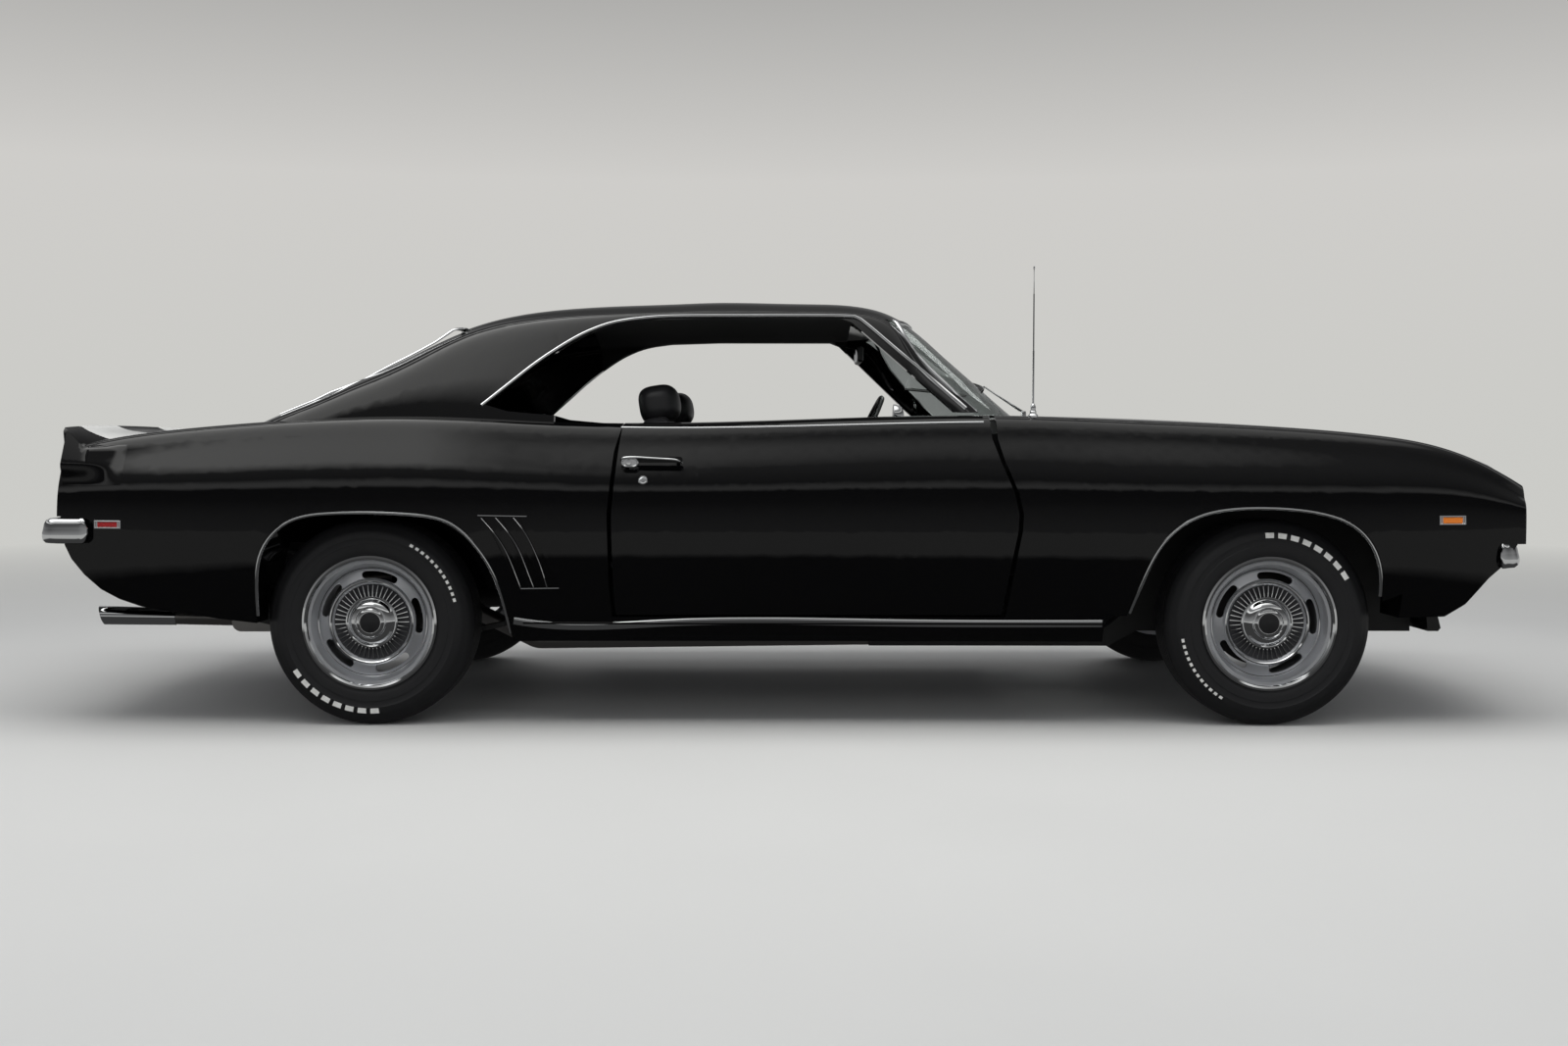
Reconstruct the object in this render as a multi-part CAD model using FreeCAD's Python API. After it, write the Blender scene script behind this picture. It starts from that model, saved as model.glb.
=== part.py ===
import FreeCAD, Part
import math
import os

# Two-door hardtop muscle car. Millimetres. +X forward, +Y to the car's left, +Z up.
# The origin is on the floor, under the middle of the car's length and width.
# Right-hand pieces are drawn at negative Y and mirrored for the left.

V = FreeCAD.Vector

# driving dimensions of the car
WHEELBASE = 2743.0
FRONT_OVERHANG = 932.0
REAR_OVERHANG = 1049.0
FRONT_TRACK = 1514.0
REAR_TRACK = 1511.0
LENGTH = FRONT_OVERHANG + WHEELBASE + REAR_OVERHANG
FRONT_AXLE_X = LENGTH / 2 - FRONT_OVERHANG
REAR_AXLE_X = FRONT_AXLE_X - WHEELBASE

# tyres and wheels
TYRE_R = 316.0
TYRE_WIDTH = 198.0
RIM_R = 190.5
RIM_WIDTH = 196.0
FLANGE = 14.0
HUB_R = 34.7
HUB_PCD = 120.65
STUD_R = 6.0
STUDS = 5
WHEEL_SLOTS = 5
CAP_R = 96.0
CAP_FINS = 30

# clearances
FIT = 0.3
GAP = 7.0
REAR_HOOD_GAP = 13.0
DECK_FRONT_GAP = 10.0
SWING_ROOM = 6.0

# panels
SKIN = 8.0
LID_THICK = 28.0
HOOD_LIP = 14.0
HOOD_LIP_LONG = 30.0
ROOF_THICK = 30.0
GLASS = 6.0
GLASS_SET = 4.0
SILL_Z = 262.0
DOOR_SILL_Z = 338.0
DOOR_INNER_Y = 725.0
DOOR_NOSE_TAPER = 105.0
HOOD_REAR_X = 800.0
HOOD_FRONT_X = 1950.0
FENDER_TOP = 108.0
DECK_FRONT_X = -1850.0
DECK_REAR_X = -2262.0
QUARTER_TOP = 205.0
NOSE_PANEL_HALF = 560.0
END_PANEL = 20.0
LINER = 8.0
FLOOR_THICK = 12.0
FLOOR_HALF = 694.0
SHEET = 8.0
DASH_WALL_X = 700.0
DASH_WALL = 10.0

# air slots in the cowl
VENTS = 12
VENT_X = 742.0
VENT_LONG = 34.0
VENT_WIDE = 7.0
VENT_START_Y = 250.0
VENT_PITCH = 22.0

# hinges
PIN_R = 6.0
EYE_R = 12.0
DOOR_HINGE_X = 520.0
DOOR_HINGE_Y = -872.0
DOOR_HINGE_Z = (440.0, 760.0)
HINGE_LEAF = 28.0
HANDLE_Y = 892.0
HOOD_HINGE_X = 740.0
HOOD_HINGE_Z = 920.0
HOOD_ARM_Y = 600.0
DECK_HINGE_X = -1790.0
DECK_HINGE_Z = 900.0
DECK_ARM_Y = 480.0
ARM_WIDTH = 16.0

# steering
KINGPIN_IN = 100.0
COLUMN_LEAN = 25.6
STEER_CENTRE = (232.0, 362.0, 860.0)
STEER_R = 197.0
COLUMN_R = 26.0

# front end
HEADLAMP_R = 84.0
HEADLAMP_Y = 650.0
HEADLAMP_Z = 652.0
GRILLE_HALF = 540.0
GRILLE_Z = (592.0, 728.0)
GRILLE_BAR = 5.0
GRILLE_COLUMNS = 26
GRILLE_ROWS = 5
BUMPER_DEPTH = 46.0

# rear end
LAMP_Y = (215.0, 560.0)
LAMP_Z = (650.0, 765.0)
LAMP_CELLS = 3
SPOILER_RISE = 40.0
SPOILER_SIDE_LIFT = 75.0

# places along the car as drawn, before the lengths above stretch it
DRAWN_FRONT_AXLE = 1430.0
DRAWN_REAR_AXLE = -1313.0
DRAWN_HALF_LENGTH = 2362.0
STRETCH_CABIN = (-500.0, -100.0)
STRETCH_NOSE = (1790.0, 1900.0)
STRETCH_TAIL = (-2100.0, -1900.0)


class Guide:
    """Smooth curve (natural cubic spline) through a few (x, value) points."""

    def __init__(self, points):
        self.p = sorted(points)
        n = len(self.p)
        h = [self.p[i + 1][0] - self.p[i][0] for i in range(n - 1)]
        low, diag, up, rhs = [0.0] * n, [1.0] * n, [0.0] * n, [0.0] * n
        for i in range(1, n - 1):
            low[i], diag[i], up[i] = h[i - 1], 2 * (h[i - 1] + h[i]), h[i]
            slope_b = (self.p[i + 1][1] - self.p[i][1]) / h[i]
            slope_a = (self.p[i][1] - self.p[i - 1][1]) / h[i - 1]
            rhs[i] = 6 * (slope_b - slope_a)
        for i in range(1, n):
            f = low[i] / diag[i - 1]
            diag[i] -= f * up[i - 1]
            rhs[i] -= f * rhs[i - 1]
        m = [0.0] * n
        for i in range(n - 2, 0, -1):
            m[i] = (rhs[i] - up[i] * m[i + 1]) / diag[i]
        self.m, self.h = m, h

    def __call__(self, x):
        p, m = self.p, self.m
        x = min(max(x, p[0][0]), p[-1][0])
        i = 0
        while i < len(self.h) - 1 and x > p[i + 1][0]:
            i += 1
        h = self.h[i]
        a, b = p[i + 1][0] - x, x - p[i][0]
        return (m[i] * a ** 3 + m[i + 1] * b ** 3) / (6 * h) + (p[i][1] / h - m[i] * h / 6) * a \
            + (p[i + 1][1] / h - m[i + 1] * h / 6) * b


def along(x):
    """Drawn place to real place along the car: wheelbase and overhangs stretch it only in three short zones."""
    front = FRONT_AXLE_X - DRAWN_FRONT_AXLE
    rear = REAR_AXLE_X - DRAWN_REAR_AXLE
    nose = LENGTH / 2 - DRAWN_HALF_LENGTH
    knots = [(STRETCH_TAIL[0], -nose), (STRETCH_TAIL[1], rear), (STRETCH_CABIN[0], rear), (STRETCH_CABIN[1], front),
             (STRETCH_NOSE[0], front), (STRETCH_NOSE[1], nose)]
    if x <= knots[0][0]:
        return x + knots[0][1]
    for (x0, s0), (x1, s1) in zip(knots, knots[1:]):
        if x <= x1:
            return x + s0 + (s1 - s0) * (x - x0) / (x1 - x0)
    return x + knots[-1][1]


# shapes made from drawn places

def at(x, y, z):
    return V(along(x), y, z)


def ring(points):
    """Closed outline through the points."""
    return Part.Face(Part.makePolygon(points + points[:1]))


def prism_xz(points, y0, y1):
    """Side-view outline pushed from y0 to y1."""
    return ring([at(x, y0, z) for x, z in points]).extrude(V(0, y1 - y0, 0))


def prism_xy(points, z0, z1):
    """Top-view outline pushed from z0 to z1."""
    return ring([at(x, y, z0) for x, y in points]).extrude(V(0, 0, z1 - z0))


def prism_yz(points, x0, x1):
    """Front-view outline pushed from x0 to x1."""
    return ring([at(x0, y, z) for y, z in points]).extrude(V(along(x1) - along(x0), 0, 0))


def curve_xz(points, y=0.0):
    c = Part.BSplineCurve()
    c.interpolate([at(x, y, z) for x, z in points])
    return c.toShape()


def box(x0, x1, y0, y1, z0, z1):
    return Part.makeBox(along(x1) - along(x0), y1 - y0, z1 - z0, at(x0, y0, z0))


def wall(x, thick, y0, y1, z0, z1):
    """Upright sheet across the car whose front face stands at x."""
    return Part.makeBox(thick, y1 - y0, z1 - z0, V(along(x) - thick, y0, z0))


def cyl(x, y, z, r, length, axis):
    return Part.makeCylinder(r, length, at(x, y, z), V(*axis))


def bar(a, b, r):
    a, b = at(*a), at(*b)
    d = b - a
    return Part.makeCylinder(r, d.Length, a, d)


def revolve_y(profile):
    """Ring or disc around the Y axis from (radius, y) points."""
    return ring([V(0, y, r) for r, y in profile]).revolve(V(0, 0, 0), V(0, 1, 0), 360)


def arc_band(corner_x, mid_x, half, depth, z0, z1):
    """Bar that follows the bowed nose or tail: its outer face passes the three points, depth deep."""
    s = 1.0 if mid_x > 0 else -1.0
    cx, mx = along(corner_x), along(mid_x)
    a = Part.Arc(V(cx, -half, z0), V(mx, 0, z0), V(cx, half, z0)).toShape()
    b = Part.Arc(V(cx - s * depth, -half, z0), V(mx - s * depth, 0, z0), V(cx - s * depth, half, z0)).toShape()
    c = Part.makeLine(V(cx, -half, z0), V(cx - s * depth, -half, z0))
    d = Part.makeLine(V(cx, half, z0), V(cx - s * depth, half, z0))
    return Part.Face(Part.Wire(Part.sortEdges([a, b, c, d])[0])).extrude(V(0, 0, z1 - z0))


def pipe(points, bend, r):
    """Round pipe along straight runs joined by bends of one radius."""
    pts = [at(*p) for p in points]
    edges, last = [], pts[0]
    for before, corner, after in zip(pts, pts[1:], pts[2:]):
        u = (before - corner).normalize()
        w = (after - corner).normalize()
        half = u.getAngle(w) / 2
        back = bend / math.tan(half)
        a, b = corner + u * back, corner + w * back
        middle = corner + (u + w).normalize() * (bend / math.sin(half) - bend)
        edges += [Part.makeLine(last, a), Part.Arc(a, middle, b).toShape()]
        last = b
    edges.append(Part.makeLine(last, pts[-1]))
    profile = Part.Wire([Part.makeCircle(r, pts[0], pts[1] - pts[0])])
    return Part.Wire(edges).makePipeShell([profile], True, False)


def mirror(shape):
    return shape.mirror(V(0, 0, 0), V(0, 1, 0))


def both(shape):
    return [shape, mirror(shape)]


def fuse(shapes):
    return shapes[0].fuse(shapes[1:]) if len(shapes) > 1 else shapes[0]


def keep_big(shape):
    return max(shape.Solids, key=lambda s: s.Volume)


def keep_all(solids):
    return Part.makeCompound(list(solids))


# guide curves of the lower body: heights and half-widths along the car
centre_z = Guide([(-2420, 868), (-2150, 898), (-1850, 930), (-1300, 952), (-400, 955), (500, 957), (1000, 953),
                  (1412, 934), (1747, 908), (2050, 872), (2330, 815), (2420, 790)])
crest_z = Guide([(-2420, 800), (-2120, 868), (-1850, 900), (-1500, 925), (-1150, 932), (-700, 915), (0, 925),
                 (600, 938), (1000, 925), (1400, 908), (1769, 880), (1984, 842), (2150, 775), (2420, 600)])
crest_y = Guide([(-2420, 770), (-1900, 800), (-1300, 832), (-800, 822), (0, 806), (600, 806), (1400, 822),
                 (2000, 806), (2420, 780)])
wide_y = Guide([(-2420, 830), (-2240, 862), (-1800, 918), (-1313, 944), (-850, 934), (-200, 922), (600, 924),
                (1430, 934), (1800, 912), (2170, 862), (2420, 815)])
sill_y = Guide([(-2420, 770), (-1800, 850), (-1000, 862), (0, 852), (1000, 862), (1800, 850), (2420, 770)])
WIDE_Z = 640.0
STATIONS = [-2420, -2300, -2180, -2050, -1900, -1750, -1600, -1450, -1300, -1150, -1000, -850, -700, -500, -250, 0,
            250, 450, 600, 750, 900, 1050, 1200, 1350, 1500, 1650, 1800, 1900, 2000, 2090, 2180, 2300, 2420]


def body_poles(x):
    """Right half of the body's cross-section at x: control points (y, z) from the sill up to the middle."""
    yc, zc, zt, ym, ys = crest_y(x), crest_z(x), centre_z(x), wide_y(x), sill_y(x)
    return [(ys, SILL_Z), (ys + 0.45 * (ym - ys), SILL_Z + 90), (ym - 6, WIDE_Z - 190), (ym, WIDE_Z),
            (ym - 0.22 * (ym - yc), WIDE_Z + 0.45 * (zc - WIDE_Z)), (yc + 16, zc - 45), (yc, zc + 12),
            (0.86 * yc, zc + 14), (0.62 * yc, zc + 0.55 * (zt - zc) + 8), (0.3 * yc, zt), (0, zt)]


def inset_poles(poles, t):
    """The same control points moved inwards by t, square to the outline."""
    out = []
    last = len(poles) - 1
    for i, (y, z) in enumerate(poles):
        y0, z0 = poles[max(i - 1, 0)]
        y1, z1 = poles[min(i + 1, last)]
        dy, dz = y1 - y0, z1 - z0
        n = math.hypot(dy, dz)
        out.append((y - t * dz / n, z + t * dy / n))
    out[0] = (out[0][0], poles[0][1])
    out[-1] = (0.0, out[-1][1])
    return out


def section_curve(points):
    """Uniform cubic B-spline edge from its control points."""
    curve = Part.BSplineCurve()
    inner = len(points) - 4
    curve.buildFromPolesMultsKnots(points, [4] + [1] * inner + [4], [float(k) for k in range(inner + 2)], False, 3)
    return curve.toShape()


def body_solid(t):
    """The whole lower body as one solid, t inside the outer skin."""
    wires = []
    for x in STATIONS:
        half = inset_poles(body_poles(x), t)
        poles = [at(x, -y, z) for y, z in half] + [at(x, y, z) for y, z in reversed(half[:-1])]
        wires.append(Part.Wire([section_curve(poles), Part.makeLine(poles[-1], poles[0])]))
    return Part.makeLoft(wires, True, False)


# greenhouse: middle line of roof and glass, how much lower its edge lies, and how round that edge is
roof_z = Guide([(-2000, 818), (-1790, 938), (-1650, 1003), (-1350, 1148), (-1100, 1262), (-900, 1312), (-600, 1338),
                (-200, 1349), (100, 1344), (270, 1322), (390, 1268), (560, 1130), (770, 950), (900, 838)])
roof_crown = Guide([(-2000, 20), (-1600, 34), (-1200, 58), (-900, 64), (100, 64), (300, 60), (500, 42), (750, 18),
                    (900, 10)])
corner_round = Guide([(-1960, 60), (-1500, 90), (-1100, 95), (-800, 55), (-550, 30), (0, 25), (880, 25)])
ROOF_STATIONS = [-1960, -1850, -1700, -1550, -1400, -1250, -1120, -1000, -850, -650, -400, -150, 80, 200, 280, 360,
                 440, 540, 660, 780, 880]
BELT_Z = 930.0
BELT_CUT_Z = 925.0
BELT_Y = 772.0
RAIL_Z = 1264.0
RAIL_Y = 612.0
SIDE_LEAN = (BELT_Y - RAIL_Y) / (RAIL_Z - BELT_Z)
SIDE_BULGE = 8.4
FRONT_BOW = (160.0, 440.0, -145.0)
REAR_BOW = (-900.0, -500.0, 70.0)
GREENHOUSE_LOW = 820.0


def bow(x):
    """How far the glass ends bend back (front) or forward (rear) at the pillars."""
    start, run, depth = FRONT_BOW if x > 0 else REAR_BOW
    s = min(max((x - start) / run, 0.0), 1.0)
    return depth * s * s * (3 - 2 * s)


def side_y(z):
    """Half-width of the greenhouse's leaning side at height z."""
    middle = (BELT_Z + RAIL_Z) / 2
    return BELT_Y + (BELT_Z - z) * SIDE_LEAN + SIDE_BULGE * (1 - ((z - middle) / (RAIL_Z - middle)) ** 2)


def roof_poles(x):
    """Right half of the greenhouse's cross-section: control points (y, z) from the middle down the side."""
    top = roof_z(x)
    drop = roof_crown(x)
    edge = top - drop
    y, r = side_y(edge), corner_round(x)
    low = edge - r
    foot = low - 0.4 * (low - GREENHOUSE_LOW)
    return [(0, top), (0.34 * y, top - 0.06 * drop), (0.68 * y, top - 0.36 * drop),
            (y - 1.4 * r, edge + 0.34 * drop * min(1.0, 1.4 * r / (0.32 * y))), (y, edge), (side_y(low), low),
            (side_y(foot), foot), (side_y(GREENHOUSE_LOW), GREENHOUSE_LOW)]


def greenhouse(t):
    """Roof, glass and sail panels as one solid block; t moves its skin in from the sides and down."""
    wires = []
    ends = {ROOF_STATIONS[0]: -t, ROOF_STATIONS[-1]: t}
    for station in ROOF_STATIONS:
        x = station + ends.get(station, 0.0)
        half = []
        outer = roof_poles(station)
        for i, (y, z) in enumerate(reversed(outer)):
            shift = bow(station) * min(y / RAIL_Y, 1.4) ** 2
            share = min(y / outer[4][0], 1.0)
            drop = 0.0 if i < 2 else t
            half.append((x + shift, y - t * share, z - drop))
        poles = [at(a, -y, z) for a, y, z in half] + [at(a, y, z) for a, y, z in reversed(half[:-1])]
        wires.append(Part.Wire([section_curve(poles)]))
    block = Part.makeLoft(wires, False, False).Faces[0].extrude(V(0, 0, -RAIL_Z + 360))
    low = BELT_CUT_Z - max(t, 0.0)
    return block.common(box(ROOF_STATIONS[0] - 200, ROOF_STATIONS[-1] + 200, -1000, 1000, low, 1500))


# wheel arches, seen from the side (front one and rear one)
FRONT_ARCH = [(979, 240), (984, 330), (1031, 468), (1078, 562), (1180, 646), (1293, 673), (1419, 676), (1560, 660),
              (1682, 608), (1742, 520), (1758, 422), (1756, 300), (1756, 240)]
REAR_ARCH = [(-1650, 240), (-1648, 339), (-1642, 440), (-1622, 540), (-1540, 630), (-1411, 658), (-1165, 655),
             (-1050, 630), (-975, 565), (-918, 470), (-885, 340), (-872, 240)]
ARCH_EDGE_Y = 890.0
FRONT_WELL_Y = 465.0
REAR_WELL_Y = 610.0
FRONT_WELL_GROW = 60.0


def arch_prism(points, y0, y1, grow=0.0):
    """The open space of a wheel arch from y0 to y1; grow makes it larger all round."""
    mx = (points[0][0] + points[-1][0]) / 2
    pts = []
    for x, z in points:
        pts.append((x + (grow if x > mx else -grow), z if z < 300 else z + grow * (z - 300) / 370))
    arch = curve_xz(pts, y0)
    base = Part.makeLine(at(pts[-1][0], y0, pts[-1][1]), at(pts[0][0], y0, pts[0][1]))
    return Part.Face(Part.Wire([arch, base])).extrude(V(0, y1 - y0, 0))


def wheel_wells():
    """Space of both right-hand wheel wells, and the same space with its liner's thickness."""
    wells = [arch_prism(FRONT_ARCH, -1000, -ARCH_EDGE_Y),
             arch_prism(FRONT_ARCH, -ARCH_EDGE_Y, -FRONT_WELL_Y, FRONT_WELL_GROW),
             arch_prism(REAR_ARCH, -1000, -REAR_WELL_Y)]
    liners = [arch_prism(FRONT_ARCH, -ARCH_EDGE_Y - LINER, -FRONT_WELL_Y + LINER - 3, FRONT_WELL_GROW + LINER),
              arch_prism(REAR_ARCH, -1000, -REAR_WELL_Y + LINER, LINER)]
    return wells, liners


# lower edge of the body seen from the side
UNDER = [(-2500, 100), (-2500, 640), (-2246, 640), (-2233, 553), (-2213, 511), (-2175, 464), (-2125, 419),
         (-2069, 389), (-2000, 366), (-1856, 346), (-1764, 331), (-1648, 318), (-1640, 250), (1750, 250),
         (1756, 336), (1961, 339), (2023, 377), (2090, 456), (2141, 500), (2180, 560), (2500, 560), (2500, 100)]

# plan outline of the two ends: where the side meets the end, and the middle
END_HALF = 850.0
NOSE_CORNER_X = 2172.0
NOSE_MID_X = 2318.0
TAIL_CORNER_X = -2246.0
TAIL_MID_X = -2306.0


def plan_prism(shrink=0.0):
    """Plan view of the painted body: bowed nose and tail, open at the sides."""
    nose_x, tail_x = NOSE_CORNER_X - 8 - shrink, TAIL_CORNER_X + 6 + shrink
    nose = Part.Arc(at(nose_x, -1000, 0), at(NOSE_MID_X - shrink, 0, 0), at(nose_x, 1000, 0)).toShape()
    tail = Part.Arc(at(tail_x, 1000, 0), at(TAIL_MID_X + shrink, 0, 0), at(tail_x, -1000, 0)).toShape()
    left = Part.makeLine(at(nose_x, 1000, 0), at(tail_x, 1000, 0))
    right = Part.makeLine(at(tail_x, -1000, 0), at(nose_x, -1000, 0))
    return Part.Face(Part.Wire([nose, left, tail, right])).extrude(V(0, 0, 1500))


# side opening (door glass and quarter glass) seen from the side
SIDE_OPENING = [(-905, 962), (-977, 983), (-892, 1051), (-817, 1113), (-726, 1176), (-667, 1210), (-589, 1240),
                (-489, 1253), (-300, 1259), (130, 1259), (165, 1246), (500, 938), (500, 860), (-560, 860), (-572, 907),
                (-726, 946)]
WINDSHIELD = [(-560, 1262), (560, 1262), (690, 940), (690, 900), (-690, 900), (-690, 940)]
REAR_GLASS = [(-480, 1235), (480, 1235), (560, 975), (560, 925), (-560, 925), (-560, 975)]
ROOF_REAR_X = -760.0
ROOF_FRONT_X = 195.0
DOOR_REAR = [(-540, 912), (-560, 840), (-576, 652), (-571, 429), (-565, 338)]
DOOR_FRONT = [(582, 960), (590, 880), (612, 812), (650, 715), (663, 652), (660, 600), (640, 500), (614, 338)]

# gills ahead of the rear wheel: three slanted grooves with their top and bottom places
GILL_TOP_Z = 645.0
GILL_BOTTOM_Z = 424.0
GILL_TOP_X = (-950.0, -897.0, -844.0)
GILL_BOTTOM_X = (-840.0, -797.0, -754.0)
GILL_WIDTH = 26.0
GILL_DEEP = 5.0


def lid_plan(x0, x1, inset, grow, z0, z1):
    """Plan block under a lid from x0 to x1, its sides inset from the body's crest."""
    xs = [x0 + (x1 - x0) * i / 4 for i in range(5)]
    side = [(x, crest_y(x) - inset + grow) for x in xs]
    return prism_xy([(x, -y) for x, y in side] + [(x, y) for x, y in reversed(side)], z0, z1)


def door_outline(g):
    """Door seen from the side; g moves every edge inwards by that much."""
    rear = [(x + g, z) for x, z in DOOR_REAR]
    front = [(x - g, z) for x, z in DOOR_FRONT]
    rear[0] = (rear[0][0], 1000)
    front[0] = (front[0][0], 1000)
    rear[-1] = (rear[-1][0], DOOR_SILL_Z + g)
    front[-1] = (front[-1][0], DOOR_SILL_Z + g)
    return rear + list(reversed(front))


def hinge_leaf(z):
    """Body side of a door hinge: a bent arm from the post to an eye round the pin."""
    x, y = DOOR_HINGE_X, DOOR_HINGE_Y
    arm = prism_xy([(x - 8, y), (x + 8, y), (x + 8, y + 104), (688, -712), (688, -690), (652, -690),
                    (x - 8, y + 118)], z - HINGE_LEAF / 2, z + HINGE_LEAF / 2)
    eye = cyl(x, y, z - HINGE_LEAF / 2, EYE_R, HINGE_LEAF, (0, 0, 1))
    hole = cyl(x, y, z - HINGE_LEAF, PIN_R + FIT, 2 * HINGE_LEAF, (0, 0, 1))
    return arm.fuse([eye]).cut([hole])


def make_door(skin):
    """Door shell with its window slot, tapered nose, hinge pockets, pins and outer handle."""
    block = prism_xz(door_outline(GAP), -1100, -DOOR_INNER_Y)
    taper = prism_xy([(DOOR_HINGE_X + 20, -DOOR_INNER_Y), (760, -DOOR_INNER_Y - DOOR_NOSE_TAPER), (760, -600),
                      (DOOR_HINGE_X + 20, -600)], 200, 1100)
    slot = box(-520, 560, -792, -762, 500, 1000)
    pull = both_ends_round(-542, -355, 805, 823)
    handle = pull.extrude(V(0, -10, 0)).translated(V(0, -HANDLE_Y, 0))
    feet = [cyl(x, -HANDLE_Y - 4, 814, 6, 60, (0, 1, 0)) for x in (-525, -370)]
    door = skin.common(block).cut([slot, taper])
    pockets, pins = [], []
    for z in DOOR_HINGE_Z:
        room = HINGE_LEAF / 2 + SWING_ROOM
        pockets.append(box(DOOR_HINGE_X - EYE_R - SWING_ROOM, 720, DOOR_HINGE_Y - EYE_R - SWING_ROOM, -600,
                           z - room, z + room))
        pins.append(cyl(DOOR_HINGE_X, DOOR_HINGE_Y, z - room - 4, PIN_R, 2 * room + 8, (0, 0, 1)))
    door = keep_big(door.cut(pockets))
    return door.fuse(pins + [handle] + feet)


def both_ends_round(x0, x1, z0, z1):
    """Flat outline with half-round ends, in the XZ plane at y = 0."""
    r = (z1 - z0) / 2
    zm = z0 + r
    top = Part.makeLine(at(x0 + r, 0, z1), at(x1 - r, 0, z1))
    bottom = Part.makeLine(at(x1 - r, 0, z0), at(x0 + r, 0, z0))
    front = Part.Arc(at(x1 - r, 0, z1), at(x1, 0, zm), at(x1 - r, 0, z0)).toShape()
    rear = Part.Arc(at(x0 + r, 0, z0), at(x0, 0, zm), at(x0 + r, 0, z1)).toShape()
    return Part.Face(Part.Wire([top, front, bottom, rear]))


def goose_arm(px, pz, reach, y, thick):
    """Curved lid arm in the XZ plane: from the pivot down, along and up to the lid; reach is signed."""
    s = 1.0 if reach > 0 else -1.0
    outer = [(px - 9 * s, pz), (px - 2 * s, pz - 66), (px + 40 * s, pz - 96), (px + 100 * s, pz - 96),
             (px + 140 * s, pz - 70), (px + reach, pz + 8)]
    inner = [(px + reach - 22 * s, pz + 8), (px + 122 * s, pz - 60), (px + 94 * s, pz - 78), (px + 44 * s, pz - 78),
             (px + 16 * s, pz - 56), (px + 9 * s, pz)]
    arm = prism_xz(outer + inner, y - thick / 2, y + thick / 2)
    eye = cyl(px, y - thick / 2, pz, EYE_R, thick, (0, 1, 0))
    hole = cyl(px, y - thick, pz, PIN_R + FIT, 2 * thick, (0, 1, 0))
    return arm.fuse([eye]).cut([hole])


def lid_pivot(px, pz, y, thick):
    """Pin that the arm's eye turns on, with the bracket plate outboard of it."""
    pin = cyl(px, y - thick / 2 - 2, pz, PIN_R, thick + 10, (0, 1, 0))
    plate = box(px - 16, px + 16, y + thick / 2 + FIT, y + thick / 2 + FIT + SHEET, pz - 16, pz + 60)
    return pin.fuse([plate])


def spoiler_block():
    """Ducktail lip across the whole tail: a concave ramp to a bowed upper edge."""
    wires = []
    for y in (-900, -450, 0, 450, 900):
        u = (y / END_HALF) ** 2
        skin_z = centre_z(-2200) + (crest_z(-2200) - 6 - centre_z(-2200)) * u
        foot_x, tip_x, tip_z = -2196 - 10 * (1 - u), -2346 + 100 * u, 925 - 17 * u
        ramp = curve_xz([(foot_x + 30, skin_z - 6), (foot_x - 12, skin_z + SPOILER_RISE * 0.16),
                         ((foot_x + tip_x) / 2, (skin_z + tip_z) / 2 - 3), (tip_x, tip_z)], y)
        back = [(tip_x, tip_z), (tip_x - 3, tip_z - 12), (tip_x + 4 + 22 * (1 - u), tip_z - 60),
                (-2248 - 44 * (1 - u), 803), (foot_x + 30, 803), (foot_x + 30, skin_z - 6)]
        lines = [Part.makeLine(at(a, y, b), at(c, y, d)) for (a, b), (c, d) in zip(back, back[1:])]
        wires.append(Part.Wire([ramp] + lines))
    return Part.makeLoft(wires, True, False)


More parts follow.
